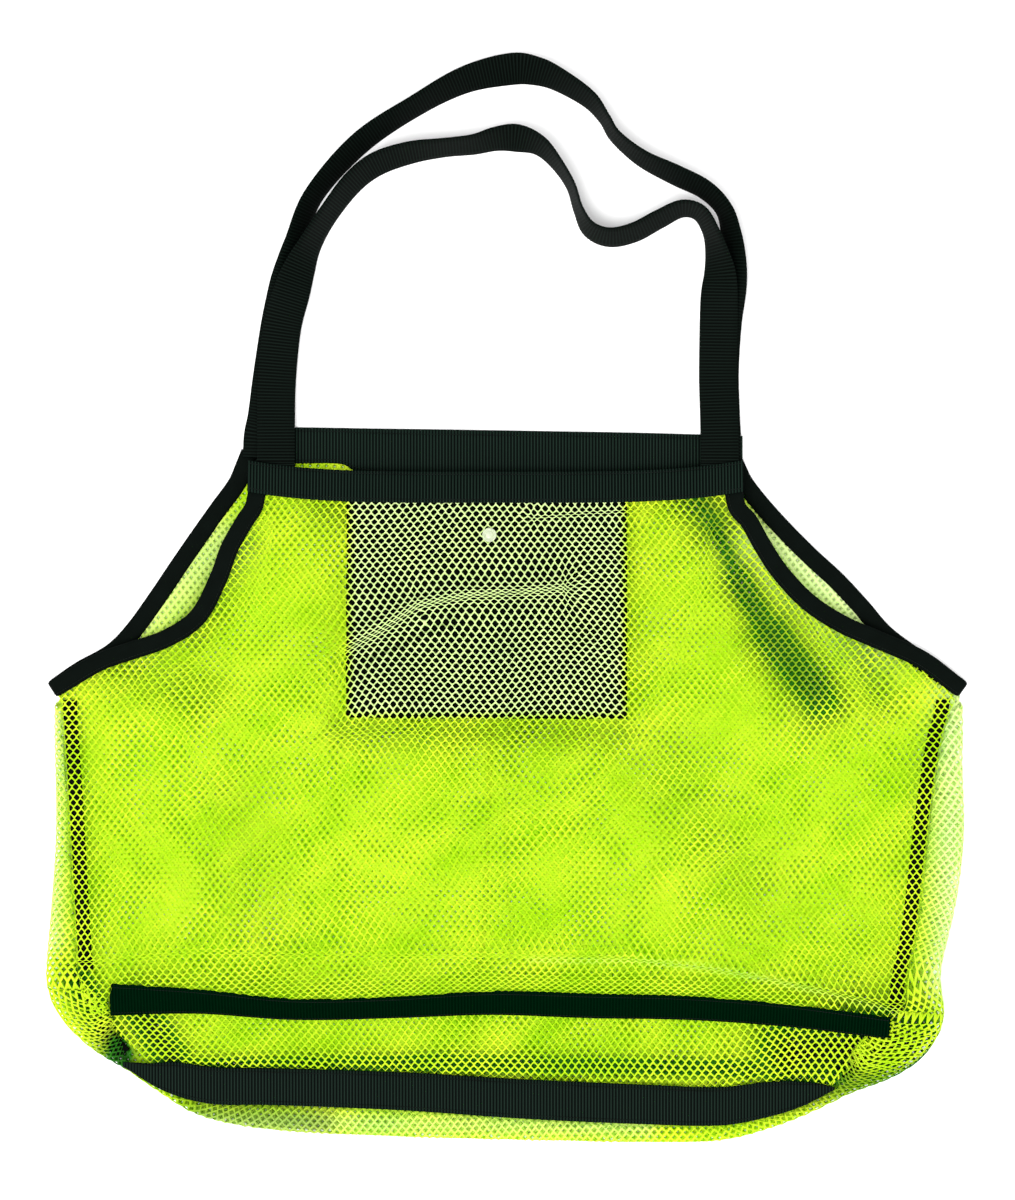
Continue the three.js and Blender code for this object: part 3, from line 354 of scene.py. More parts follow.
def foldLift(source, x, y):
    # Folds that meet end to end keep one height: the largest rise and the deepest dip count
    rise, dip = np.zeros_like(x), np.zeros_like(x)
    for fromAcross, fromUp, toAcross, toUp, reach, height in source["rows"]:
        start = np.array([fromAcross * halfBody, bottomY + fromUp * bag["bodyHeight"]])
        way = np.array([toAcross * halfBody, bottomY + toUp * bag["bodyHeight"]]) - start
        along = np.clip(((x - start[0]) * way[0] + (y - start[1]) * way[1]) / (way @ way), 0, 1)
        away = np.hypot(x - start[0] - way[0] * along, y - start[1] - way[1] * along)
        distance = away / (reach * bag["crestDepth"])
        lift = height * bag["crestDepth"] * np.exp(-distance * distance)
        rise = np.maximum(rise, lift)
        dip = np.minimum(dip, lift)
    return rise + dip


# Soft waves that cloth keeps when it is laid down: length, direction and phase in degrees, height
waves = table(
    "length direction phase height",
    (61 * mm, 20, 40, 0.9 * mm), (43 * mm, 100, 150, 0.7 * mm), (37 * mm, 155, 10, 0.6 * mm),
    (29 * mm, 65, 250, 0.45 * mm), (23 * mm, 10, 80, 0.3 * mm), (17 * mm, 125, 300, 0.2 * mm),
)


def ripple(x, y, turned=0):
    lift = np.zeros_like(x)
    for length, direction, phase, height in waves["rows"]:
        angle = math.radians(direction + turned)
        run = (x * math.cos(angle) + y * math.sin(angle)) / length
        lift += height * np.sin(2 * math.pi * run + math.radians(phase + turned) + 1.3 * np.sin(run * 1.7))
    return lift


def upperHeight(x, y):
    left, leftZ = edgeAt(leftEdge, y)
    right, rightZ = edgeAt(rightEdge, y)
    share = np.clip((x - left) / (right - left), 0, 1)
    edge = leftZ + (rightZ - leftZ) * share
    crest = crestY(x)
    along = np.clip((y - crest) / (bandLowY(x) - crest), 0, 1)
    crown = 1 - np.abs(2 * share - 1) ** 3.2
    calm = np.clip((1 - along) * 8, 0, 1)
    middle = readTable(swell, "lift", along) * bag["crestDepth"]
    relief = foldLift(folds, x, y) + foldLift(creases, x, y) + ripple(x, y)
    return edge + (middle - edge + relief * calm) * crown


def frontSurface(x, y):
    low = lipHighY(x) + bag["seamGap"]
    crest = crestY(x)
    share = np.clip((y - low) / (crest - low), 0, 1)
    rise = np.sin(share * math.pi / 2)
    height = (lipHighZ(x) + bag["gap"]) * (1 - rise) + upperHeight(x, np.maximum(y, crest)) * rise
    fold = (y - crest) / crestFold["reach"]
    height = height + crestFold["height"] * np.exp(-fold * fold) * np.clip(share * 2, 0, 1)
    over = np.clip(y - bandLowY(x), 0, None)
    left, _ = edgeAt(leftEdge, y)
    right, _ = edgeAt(rightEdge, y)
    past = np.maximum(np.maximum(left - x, x - right), 0)
    tuck = np.minimum(past * edgeTuck["slope"], edgeTuck["deepest"])
    return height - over * math.tan(band["slope"]) - tuck


def smoothAlong(values, axis, reach=9, passes=3):
    # Cloth evens out its stretch, so lengths are averaged over the neighbours
    kernel = np.ones(2 * reach + 1) / (2 * reach + 1)
    for _ in range(passes):
        padded = np.pad(values, [(reach, reach) if k == axis else (0, 0) for k in (0, 1)], mode="edge")
        values = np.apply_along_axis(lambda line: np.convolve(line, kernel, mode="valid"), axis, padded)
    return values


def makeSampler(surface, xs, ys):
    xGrid, yGrid = np.meshgrid(xs, ys, indexing="ij")
    z = surface(xGrid, yGrid)
    zx, zy = np.gradient(z, xs, ys)
    stepX = np.sqrt(1 + zx * zx) * (xs[1] - xs[0])
    stepY = np.sqrt(1 + zy * zy) * (ys[1] - ys[0])
    runX = np.cumsum(stepX, axis=0)
    runY = np.cumsum(stepY, axis=1)
    middle = np.searchsorted(xs, 0.0)
    runX -= runX[middle][None, :]
    runY += (ys[-1] - runY[:, -1])[:, None]
    runX = smoothAlong(runX, 1)
    runY = smoothAlong(runY, 0)
    return np.stack([z, zx, zy, runX, runY], axis=-1)


def sampleGrid(grid, i, j):
    i = np.clip(i, 0, grid.shape[0] - 1.001)
    j = np.clip(j, 0, grid.shape[1] - 1.001)
    i0, j0 = i.astype(int), j.astype(int)
    u, v = (i - i0)[..., None], (j - j0)[..., None]
    low = grid[i0, j0] * (1 - u) + grid[i0 + 1, j0] * u
    high = grid[i0, j0 + 1] * (1 - u) + grid[i0 + 1, j0 + 1] * u
    return low * (1 - v) + high * v


frontStep = 1.5 * mm
frontXs = np.arange(-halfBody - 6 * mm, halfBody + 6 * mm, frontStep)
frontYs = np.arange(bottomY + 0.15 * bag["cornerHeight"], mouthY + 2 * mm, frontStep)
frontField = makeSampler(frontSurface, frontXs, frontYs)


def sampleFront(x, y):
    return sampleGrid(frontField, (x - frontXs[0]) / frontStep, (y - frontYs[0]) / frontStep)


# Outlines in plan

def measureOutline(points, outline):
    start = outline
    end = np.roll(outline, -1, axis=0)
    way = end - start
    lengths = np.maximum((way ** 2).sum(1), 1e-16)
    found = []
    for part in np.array_split(points, len(points) // 5000 + 1):
        offset = part[:, None, :] - start[None]
        t = np.clip((offset * way).sum(2) / lengths, 0, 1)
        near = start + t[..., None] * way
        distance = np.linalg.norm(part[:, None, :] - near, axis=2)
        best = distance.argmin(1)
        rows = np.arange(len(part))
        x, y = part[:, :1], part[:, 1:]
        crosses = (start[:, 1] > y) != (end[:, 1] > y)
        rise = np.where(way[:, 1] == 0, 1e-12, way[:, 1])
        inside = (crosses & (x < start[:, 0] + (y - start[:, 1]) * way[:, 0] / rise)).sum(1) % 2 == 1
        signed = distance[rows, best] * np.where(inside, -1, 1)
        found.append(np.column_stack([signed, best, t[rows, best], near[rows, best]]))
    return np.vstack(found)


# Net: knitted cells as holes in a closed lattice of thread. Holes and knots alternate like the
# squares of a chessboard.
net = {
    "cellWidth": 4.05 * mm, "cellHeight": 5.15 * mm, "ridge": 0.38 * mm, "keepPastEdge": 0.12,
    "jitter": 0.07 * mm,
}
acrossStep = net["cellWidth"] / 2
upStep = net["cellHeight"] / 2
# How each net lies: turned by some degrees, and with the size of its holes
frontLay = {"turn": 0.7, "phase": 0, "hole": (3.42 * mm, 3.00 * mm), "round": 1.17}
backLay = {"turn": -4.0, "phase": 115, "hole": (1.00 * mm, 0.90 * mm), "round": 0}
baseLay = {"turn": 2.5, "phase": 230, "hole": (3.20 * mm, 2.80 * mm), "round": 1.15}
# Handling pushes the rows of cells out of line. length, direction and phase in degrees, push.
drifts = table(
    "length direction phase push",
    (190 * mm, 25, 60, 1.9 * mm), (130 * mm, 110, 10, 1.3 * mm), (83 * mm, 160, 130, 0.8 * mm),
    (57 * mm, 60, 220, 0.45 * mm),
)


def layCells(cells, lay):
    turn = math.radians(lay["turn"])
    x, y = cells[:, 0] * acrossStep, cells[:, 1] * upStep
    cos, sin = math.cos(turn), math.sin(turn)
    flat = np.column_stack([x * cos - y * sin, x * sin + y * cos])
    moved = flat.copy()
    for length, direction, phase, push in drifts["rows"]:
        angle = math.radians(direction + lay["phase"])
        run = (flat[:, 0] * math.cos(angle) + flat[:, 1] * math.sin(angle)) / length
        wave = push * np.sin(2 * math.pi * run + math.radians(phase + lay["phase"]))
        moved += wave[:, None] * [math.cos(angle * 1.7), math.sin(angle * 1.7)]
    return moved


# Painted pale light: where nothing green lies behind the net, its thread is painted paler than its own
# colour
paleLightStrokes = table(
    "fromAcross fromUp toAcross toUp reach pale",
    (0.57, 0.883, 0.81, 0.759, 0.36, 0.8), (-0.62, 0.88, -0.78, 0.766, 0.26, 0.45),
    (0.97, 0.66, 0.96, 0.25, 0.22, 0.7), (-0.98, 0.62, -0.985, 0.3, 0.14, 0.4),
    (-0.66, 0.03, 0.3, 0.025, 0.12, 0.35),
)


# A crease pressed into the front net, with a painted highlight: its thread painted lighter along the crease
creaseHighlights = table(
    "fromAcross fromUp toAcross toUp reach pale",
    (0.05, 0.276, 0.295, 0.274, 0.035, 0.16), (0.295, 0.274, 0.432, 0.264, 0.035, 0.2),
    (0.432, 0.264, 0.566, 0.246, 0.035, 0.2), (0.566, 0.246, 0.675, 0.227, 0.035, 0.18),
    (0.675, 0.227, 0.837, 0.196, 0.035, 0.14),
)


# Shades lie only on the net near the ground
shadeTop = 9 * mm
shadeFade = 4 * mm


def strokesAt(points, source):
    deep = np.zeros(len(points))
    for fromAcross, fromUp, toAcross, toUp, reach, depth in source["rows"]:
        start = np.array([fromAcross * halfBody, bottomY + fromUp * bag["bodyHeight"]])
        way = np.array([toAcross * halfBody, bottomY + toUp * bag["bodyHeight"]]) - start
        along = np.clip(((points[:, :2] - start) @ way) / (way @ way), 0, 1)
        away = np.linalg.norm(points[:, :2] - start - along[:, None] * way, axis=1)
        away = away / (reach * bag["crestDepth"])
        deep = np.maximum(deep, depth * np.exp(-away * away))
    return deep


# Painted pale light: over the black pocket the front net's thread is painted paler, fading in from the
# pocket's edges
def overPocket(points):
    left = bag["mouthShift"] + pocket["shift"] - pocket["width"] / 2
    fromSide = np.minimum(points[:, 0] - left, left + pocket["width"] - points[:, 0])
    fromBottom = points[:, 1] - (bandLowY(points[:, 0]) - pocket["height"])
    return pocket["pale"] * np.clip(np.minimum(fromSide, fromBottom) / pocket["fade"], 0, 1)


def areaOf(rings):
    x, y = rings[..., 0], rings[..., 1]
    return np.abs((x * np.roll(y, -1, axis=1) - y * np.roll(x, -1, axis=1)).sum()) / 2


def buildNet(name, place, inside, columns, rows, lay, seed, half):
    # half: -1 or 1 for the net's left or right half, 0 for all of it
    k, j = np.meshgrid(np.arange(*columns), np.arange(*rows), indexing="ij")
    holes = np.column_stack([k[(k + j) % 2 == 0], j[(k + j) % 2 == 0]])
    if half:
        holes = holes[(holes[:, 0] < 0) == (half < 0)]
    holes = holes[inside(layCells(holes, lay))]
    around = np.array([[1, 0], [0, 1], [-1, 0], [0, -1]])
    keys = (holes[:, None, :] + around) @ np.array([100000, 1])
    used, nodeOf = np.unique(keys, return_inverse=True)
    nodeOf = nodeOf.reshape(-1, 4)
    nodeJ = (used + 50000) % 100000 - 50000
    nodeK = (used - nodeJ) // 100000
    # Each knot is nudged by its own place in the net, so that halves of a net meet
    nudge = np.column_stack([
        np.sin(nodeK * 12.99 + nodeJ * 78.23 + seed), np.sin(nodeK * 39.35 + nodeJ * 11.13 + seed)])
    nudge = (np.abs(nudge * 43758.5) % 1 - 0.5) * 2 * net["jitter"]
    knotPoints, knotNormals = place(layCells(np.column_stack([nodeK, nodeJ]), lay) + nudge)
    reach = around * [lay["hole"][0] / net["cellWidth"], lay["hole"][1] / net["cellHeight"]]
    corners = len(around)
    if lay["round"]:    # a point more on each side of a hole
        middles = (reach + np.roll(reach, -1, axis=0)) / 2 * lay["round"]
        reach = np.stack([reach, middles], axis=1).reshape(-1, 2)
        corners = len(reach)
    grown = lay["opening"](layCells(holes, lay))[:, None, None] if "opening" in lay else 1.0
    tips = layCells((holes[:, None, :] + reach * grown).reshape(-1, 2), lay)
    knots = layCells(np.column_stack([nodeK, nodeJ]), lay)
    thread = areaOf(knots[nodeOf]) - areaOf(tips.reshape(len(holes), corners, 2))
    tips += np.random.default_rng(seed).normal(0, net["jitter"], tips.shape)
    tipPoints, _ = place(tips)
    lift = knotNormals * net["ridge"]
    points = np.vstack([knotPoints + lift, knotPoints - lift, tipPoints])
    count = len(used)
    quads, thirds = [], []
    tipOf = 2 * count + np.arange(len(holes) * corners).reshape(-1, corners)
    for q in range(4):
        r = (q + 1) % 4
        fromTip, toTip = tipOf[:, q * corners // 4], tipOf[:, r * corners // 4]
        for below, turned in ((0, False), (count, True)):
            fromKnot, toKnot = nodeOf[:, q] + below, nodeOf[:, r] + below
            if lay["round"]:
                middle = tipOf[:, q * 2 + 1]
                sides = [(fromTip, fromKnot, middle), (fromKnot, toKnot, middle), (toKnot, toTip, middle)]
                thirds += [np.column_stack(side[::-1] if turned else side) for side in sides]
            else:
                side = (fromTip, fromKnot, toKnot, toTip)
                quads.append(np.column_stack(side[::-1] if turned else side))
    edges = np.vstack([nodeOf[:, [q, (q + 1) % 4]] for q in range(4)])
    edgeKeys = np.sort(edges, axis=1) @ np.array([count + 1, 1])
    _, firsts, counts = np.unique(edgeKeys, return_index=True, return_counts=True)
    free = edges[firsts[counts == 1]]
    quads.append(np.column_stack([free[:, 1], free[:, 0], free[:, 0] + count, free[:, 1] + count]))
    piece = makeMesh(name, points, quads + thirds)
    # Painted shade (deep) and painted pale light (pale) on the thread, kept as point attributes for the
    # material
    low = np.clip((shadeTop - points[:, 2]) / shadeFade, 0, 1)
    if lay is frontLay:
        deep = strokesAt(points, frontShades)
        pale = np.maximum(overPocket(points), strokesAt(points, creaseHighlights))
    else:
        deep = strokesAt(points, shades) * low * (lay is backLay)
        pale = strokesAt(points, paleLightStrokes)
    piece.data.attributes.new("deep", "FLOAT", "POINT").data.foreach_set("value", deep)
    piece.data.attributes.new("pale", "FLOAT", "POINT").data.foreach_set("value", pale)
    return piece, np.ptp(knots, axis=0), thread


def makeMesh(name, points, parts, uv=None):
    mesh = bpy.data.meshes.new(name)
    mesh.from_pydata(points.tolist(), [], [face for part in parts for face in part.tolist()])
    if uv is not None:
        layer = mesh.uv_layers.new(name="UVMap")
        layer.data.foreach_set("uv", uv[np.concatenate([part.ravel() for part in parts])].ravel())
    mesh.polygons.foreach_set("use_smooth", [True] * len(mesh.polygons))
    mesh.update()
    piece = bpy.data.objects.new(name, mesh)
    bpy.context.scene.collection.objects.link(piece)
    return piece


# Front net

def outlineOfFront():
    under = 4.5 * mm
    left = frontEdge(leftFront, leftSide, True, -1, under)
    right = frontEdge(rightFront, rightSide, False, 1, under)
    xs = np.linspace(left[-1, 0], right[-1, 0], 80)
    bare = np.clip((lipShown[0] * halfBody - xs) / (2 * mm), 0, 1)    # no webbing left of its end
    lipLine = np.column_stack([xs, lipHighY(xs) + 0.2 * mm + (lipLowY(xs) - lipHighY(xs)) * bare])
    tops = np.linspace(right[0, 0], left[0, 0], 60)
    bandLine = np.column_stack([tops, bandLowY(tops) + 4 * mm])
    return np.vstack([left[:, :2], lipLine[1:-1], right[::-1, :2], bandLine])


frontOutline = outlineOfFront()


def unrollFront(flat):
    x, y = flat[:, 0].copy(), flat[:, 1].copy()
    for _ in range(25):
        field = sampleFront(x, y)
        x = x + 0.8 * (flat[:, 0] - field[:, 3]) / np.sqrt(1 + field[:, 1] ** 2)
        y = y + 0.8 * (flat[:, 1] - field[:, 4]) / np.sqrt(1 + field[:, 2] ** 2)
        x = np.clip(x, frontXs[0], frontXs[-1])
        y = np.clip(y, frontYs[0], frontYs[-1])
    return np.column_stack([x, y])


def tuckIn(plan, outline):
    found = measureOutline(plan, outline)
    outside = found[:, 0] > 0
    near = found[:, 3:5]
    tucked = plan.copy()
    tucked[outside] = near[outside] + (plan[outside] - near[outside]) * net["keepPastEdge"]
    return tucked


def gatherIn(plan):
    moved = plan.copy()
    for wrinkle in gathers:
        line = np.array(wrinkle["line"]) * [halfBody, bag["bodyHeight"]] + [0, bottomY]
        nearest = np.full(len(plan), np.inf)
        shift = np.zeros_like(plan)
        for start, end in zip(line[:-1], line[1:]):
            way = end - start
            along = np.clip(((plan - start) @ way) / (way @ way), 0, 1)
            away = plan - start - along[:, None] * way
            distance = np.linalg.norm(away, axis=1)
            closer = distance < nearest
            shift[closer] = away[closer]
            nearest = np.minimum(nearest, distance)
        strength = wrinkle["pull"] * np.exp(-(nearest / wrinkle["reach"]) ** 2)
        moved -= shift * strength[:, None]
    crest = crestY(moved[:, 0])
    away = moved[:, 1] - crest
    moved[:, 1] -= away * crestGather["pull"] * np.exp(-(away / crestGather["reach"]) ** 2)
    return moved


def placeFront(flat):
    plan = tuckIn(gatherIn(unrollFront(flat)), frontOutline)
    field = sampleFront(plan[:, 0], plan[:, 1])
    normals = np.column_stack([-field[:, 1], -field[:, 2], np.ones(len(plan))])
    normals /= np.linalg.norm(normals, axis=1)[:, None]
    return np.column_stack([plan, field[:, 0]]), normals


def insideFront(flat):
    return measureOutline(unrollFront(flat), frontOutline)[:, 0] < 0.5 * mm


# Back net: a sheet on the ground whose rim folds up and in to the seams
back = {"thickness": 1.2 * mm, "curlShare": 0.42, "knee": 0.85, "lap": 11 * mm, "sink": 0.6 * mm}


def rimStations():
    parts = [(leftSide, 30, 0), (leftBase, 12, 1), (heel, 60, 0), (rightBase, 16, 1), (rightSide, 34, 0)]
    folds, seams, laps = [], [], []
    for number, (source, count, laid) in enumerate(parts):
        at = np.linspace(0, 1, count + 1)[0 if number == 0 else 1:]
        folds.append(foldPoints(source, at))
        seams.append(seamPoints(source, at))
        # it covers the end tapes
        laps.append(np.clip(np.sin(math.pi * at) * 2.5, 0, 1) * back["lap"] * laid)
    # One station more at each end runs in under the bindings
    folds, seams = [np.vstack([2 * line[:1] - line[1:2], line, 2 * line[-1:] - line[-2:-1]]) for line in (
        np.vstack(folds), np.vstack(seams))]
    return folds, seams, np.concatenate([[0], *laps, [0]])


def rimSections(samples=28):
    folds, seams, laps = rimStations()
    way = np.gradient(folds[:, :2], axis=0)
    way /= np.linalg.norm(way, axis=1)[:, None]
    inward = np.column_stack([-way[:, 1], way[:, 0], np.zeros(len(way))])
    for _ in range(6):
        inward[1:-1] = (inward[:-2] + 2 * inward[1:-1] + inward[2:]) / 4
    inward /= np.linalg.norm(inward, axis=1)[:, None]
    middle = back["thickness"] / 2
    up = np.array([0, 0, 1.0])
    sections, lengths = [], []
    for fold, seam, side, lap in zip(folds, seams, inward, laps):
        radius = max(seam[2] * back["curlShare"], back["thickness"])
        angles = np.linspace(0, math.pi / 2, 16)[:, None]
        curl = fold + side * (radius * (1 - np.sin(angles)) + middle)
        curl = curl + up * (middle + radius * (1 - np.cos(angles)))
        start = curl[-1]
        end = seam.copy()
        knee = start.copy()
        knee[2] = start[2] + (seam[2] - start[2]) * back["knee"]
        t = np.linspace(0, 1, 24)[1:, None]
        over = start * (1 - t) ** 2 + knee * 2 * t * (1 - t) + end * t * t
        line = np.vstack([curl, over])
        if lap > 1 * mm:
            shares = (0.25, 0.5, 0.75, 1.0)
            line = np.vstack([line, [end + side * lap * k - up * back["sink"] * k for k in shares]])
        run = np.concatenate([[0], np.cumsum(np.linalg.norm(np.diff(line, axis=0), axis=1))])
        even = np.linspace(0, run[-1], samples)
        sections.append(np.column_stack([np.interp(even, run, line[:, axis]) for axis in range(3)]))
        lengths.append(run[-1])
    sections, lengths = np.array(sections), np.array(lengths)
    for _ in range(3):    # no sudden steps from one stretch of the rim to the next
        sections[1:-1, 1:] = (sections[:-2, 1:] + 2 * sections[1:-1, 1:] + sections[2:, 1:]) / 4
        lengths[1:-1] = (lengths[:-2] + 2 * lengths[1:-1] + lengths[2:]) / 4
    return sections, lengths


rim, rimLengths = rimSections()
rimRun = np.gradient(rim, axis=1)
rimAlong = np.gradient(rim, axis=0)
rimNormals = np.cross(rimAlong, rimRun)
rimNormals /= np.maximum(np.linalg.norm(rimNormals, axis=2), 1e-12)[..., None]
rimNormals *= np.sign(rimNormals[:, :1, 2:3].mean())


def outlineOfBack():
    under = 4.5 * mm
    right = offsetLine(rightBack, binding["width"] + bag["seamGap"] - under)[::-1]
    left = offsetLine(leftBack, -(binding["width"] + bag["seamGap"] - under))
    tops = np.linspace(right[-1, 0], left[0, 0], 60)
    at = np.clip((tops - mouthLeft) / (mouthRight - mouthLeft), 0, 1)
    hem = np.column_stack([tops, backBandLowY - readTable(backBandHang, "low", at) * mm + 2.5 * mm])
    return np.vstack([rim[:, 0, :2], right[:, :2], hem, left[:, :2]])


backOutline = outlineOfBack()
rimSegments = len(rim) - 1


def backFloor(plan):
    # Laid cloth keeps low waves, always on or above the ground
    wave = 0.9 * mm + ripple(plan[:, 0], plan[:, 1], turned=70) * 0.6
    return back["thickness"] / 2 + np.clip(wave, 0, None)


def placeBack(flat):
    found = measureOutline(flat, backOutline)
    outside = found[:, 0] > 0
    onRim = outside & (found[:, 1] < rimSegments)
    away = found[:, 0]
    station = found[:, 1] + found[:, 2]
    length = np.interp(station, np.arange(len(rimLengths)), rimLengths)
    share = away / length
    share = np.where(share > 1, 1 + (share - 1) * net["keepPastEdge"] * 0.3, share)
    plan = flat.copy()
    free = outside & ~onRim
    plan[free] = found[free, 3:5] + (flat[free] - found[free, 3:5]) * net["keepPastEdge"]
    settle = np.clip(-away / (14 * mm), 0, 1)
    height = back["thickness"] / 2 + (backFloor(plan) - back["thickness"] / 2) * settle
    points = np.column_stack([plan, height])
    normals = np.tile([0.0, 0.0, 1.0], (len(flat), 1))
    spots = rim.shape[1] - 1
    curled = sampleGrid(rim, station[onRim], np.minimum(share[onRim], 1) * spots)
    points[onRim] = curled
    turned = sampleGrid(rimNormals, station[onRim], np.minimum(share[onRim], 1) * spots)
    normals[onRim] = turned / np.linalg.norm(turned, axis=1)[:, None]
    return points, normals


opening = {"from": 2 * mm, "fade": 6 * mm, "grow": 1.9}


def openingOfBack(flat):
    # Pulled round the sides, the net opens up
    away = measureOutline(flat, backOutline)
    near = np.clip((away[:, 0] + opening["from"]) / opening["fade"], 0, 1)
    return 1 + opening["grow"] * near * (away[:, 1] < rimSegments)


backLay["opening"] = openingOfBack


def insideBack(flat):
    found = measureOutline(flat, backOutline)
    station = found[:, 1] + found[:, 2]
    length = np.interp(station, np.arange(len(rimLengths)), rimLengths)
    onRim = found[:, 1] < rimSegments
    return np.where(onRim, found[:, 0] < length - 0.5 * mm, found[:, 0] < 0.5 * mm)


# Base net: pleated inward between the two bottom webbings
heelRun = (0.065, 0.98)
heelShowRun = (0.0, 0.99)
heelSlope = 0.06


def heelPoints(u, row, run=heelRun):
    share = run[0] + (run[1] - run[0]) * u
    points = seamPoints(heel, share)
    shown = (share - heelShowRun[0]) / (heelShowRun[1] - heelShowRun[0])
    width = readTable(heelShow, "width", shown) * webbing["width"]
    points[..., 1] += bag["seamGap"] / 2 + row * width
    points[..., 2] += row * width * heelSlope
    return points


def baseGrid(stationCount=140, samples=60):
    u = np.linspace(0, 1, stationCount)
    end = heelPoints(u, 1.0)
    end[:, 1] += bag["gap"]
    share = (end[:, 0] - end[0, 0]) / (end[-1, 0] - end[0, 0])
    x = (lipEnds[0] + (lipEnds[1] - lipEnds[0]) * share) * halfBody
    seat = (webbing["thickness"] + back["thickness"]) / 2 + bag["gap"]
    start = np.column_stack([x, lipLowY(x), lipLowZ(x) - seat])
    depth = np.sqrt(np.clip(np.sin(math.pi * u), 0, 1))[:, None]
    at = np.linspace(0, 1, samples)[None, :]
    run = at * (1 - depth) + readTable(pleat, "run", at) * depth
    lift = (1 - at) * (1 - depth) + readTable(pleat, "lift", at) * depth
    plan = start[:, None, :] * (1 - run[..., None]) + end[:, None, :] * run[..., None]
    plan[..., 2] = end[:, None, 2] * (1 - lift) + start[:, None, 2] * lift
    return plan[:, ::-1, :]


base = baseGrid()
baseSteps = np.linalg.norm(np.diff(base, axis=1)[..., 1:], axis=2)
baseRun = np.concatenate([np.zeros((len(base), 1)), np.cumsum(baseSteps, axis=1)], axis=1)
baseNormals = np.cross(np.gradient(base, axis=0), np.gradient(base, axis=1))
baseNormals /= np.maximum(np.linalg.norm(baseNormals, axis=2), 1e-12)[..., None]


def rowOnBase(station, run):
    before = np.clip(station.astype(int), 0, len(base) - 2)
    share = np.empty(len(run))
    for number in np.unique(before):
        rows = before == number
        ends = [np.interp(run[rows], baseRun[number + k], np.arange(base.shape[1])) for k in (0, 1)]
        part = station[rows] - number
        share[rows] = ends[0] * (1 - part) + ends[1] * part
    return share


def acrossBase(station, run):
    share = rowOnBase(station, run)
    return share, sampleGrid(base, station, share)[:, 0]


def findOnBase(flat):
    # The cells keep their width: each point is sought at its own x, though the surface widens upward
    low = np.zeros(len(flat))
    high = low + len(base) - 1
    for _ in range(18):
        station = (low + high) / 2
        share, x = acrossBase(station, flat[:, 1])
        low = np.where(x < flat[:, 0], station, low)
        high = np.where(x < flat[:, 0], high, station)
    return station, share


def placeBase(flat):
    station, share = findOnBase(flat)
    normals = sampleGrid(baseNormals, station, share)
    return sampleGrid(base, station, share), normals / np.linalg.norm(normals, axis=1)[:, None]


def insideBase(flat):
    station, share = findOnBase(flat)
    total = np.interp(station, np.arange(len(base)), baseRun[:, -1])
    x = sampleGrid(base, station, share)[:, 0]
    return (np.abs(x - flat[:, 0]) < mm) & (flat[:, 1] > 0) & (flat[:, 1] < total)


# Materials

def linear(hexColour):
    channels = [int(hexColour[k:k + 2], 16) / 255 for k in (1, 3, 5)]
    return [c / 12.92 if c <= 0.04045 else ((c + 0.055) / 1.055) ** 2.4 for c in channels] + [1.0]


def addNode(tree, kind, sockets=None, **settings):
    node = tree.nodes.new(kind)
    for name, value in settings.items():
        setattr(node, name, value)
    for socket, value in (sockets or {}).items():
        if isinstance(value, bpy.types.NodeSocket):
            tree.links.new(value, node.inputs[socket])
        else:
            node.inputs[socket].default_value = value
    return node


def startMaterial(name):
    material = bpy.data.materials.new(name)
    material.use_nodes = True
    tree = material.node_tree
    tree.nodes.clear()
    shader = addNode(tree, "ShaderNodeBsdfPrincipled")
    addNode(tree, "ShaderNodeOutputMaterial", {"Surface": shader.outputs[0]})
    return material, tree, shader


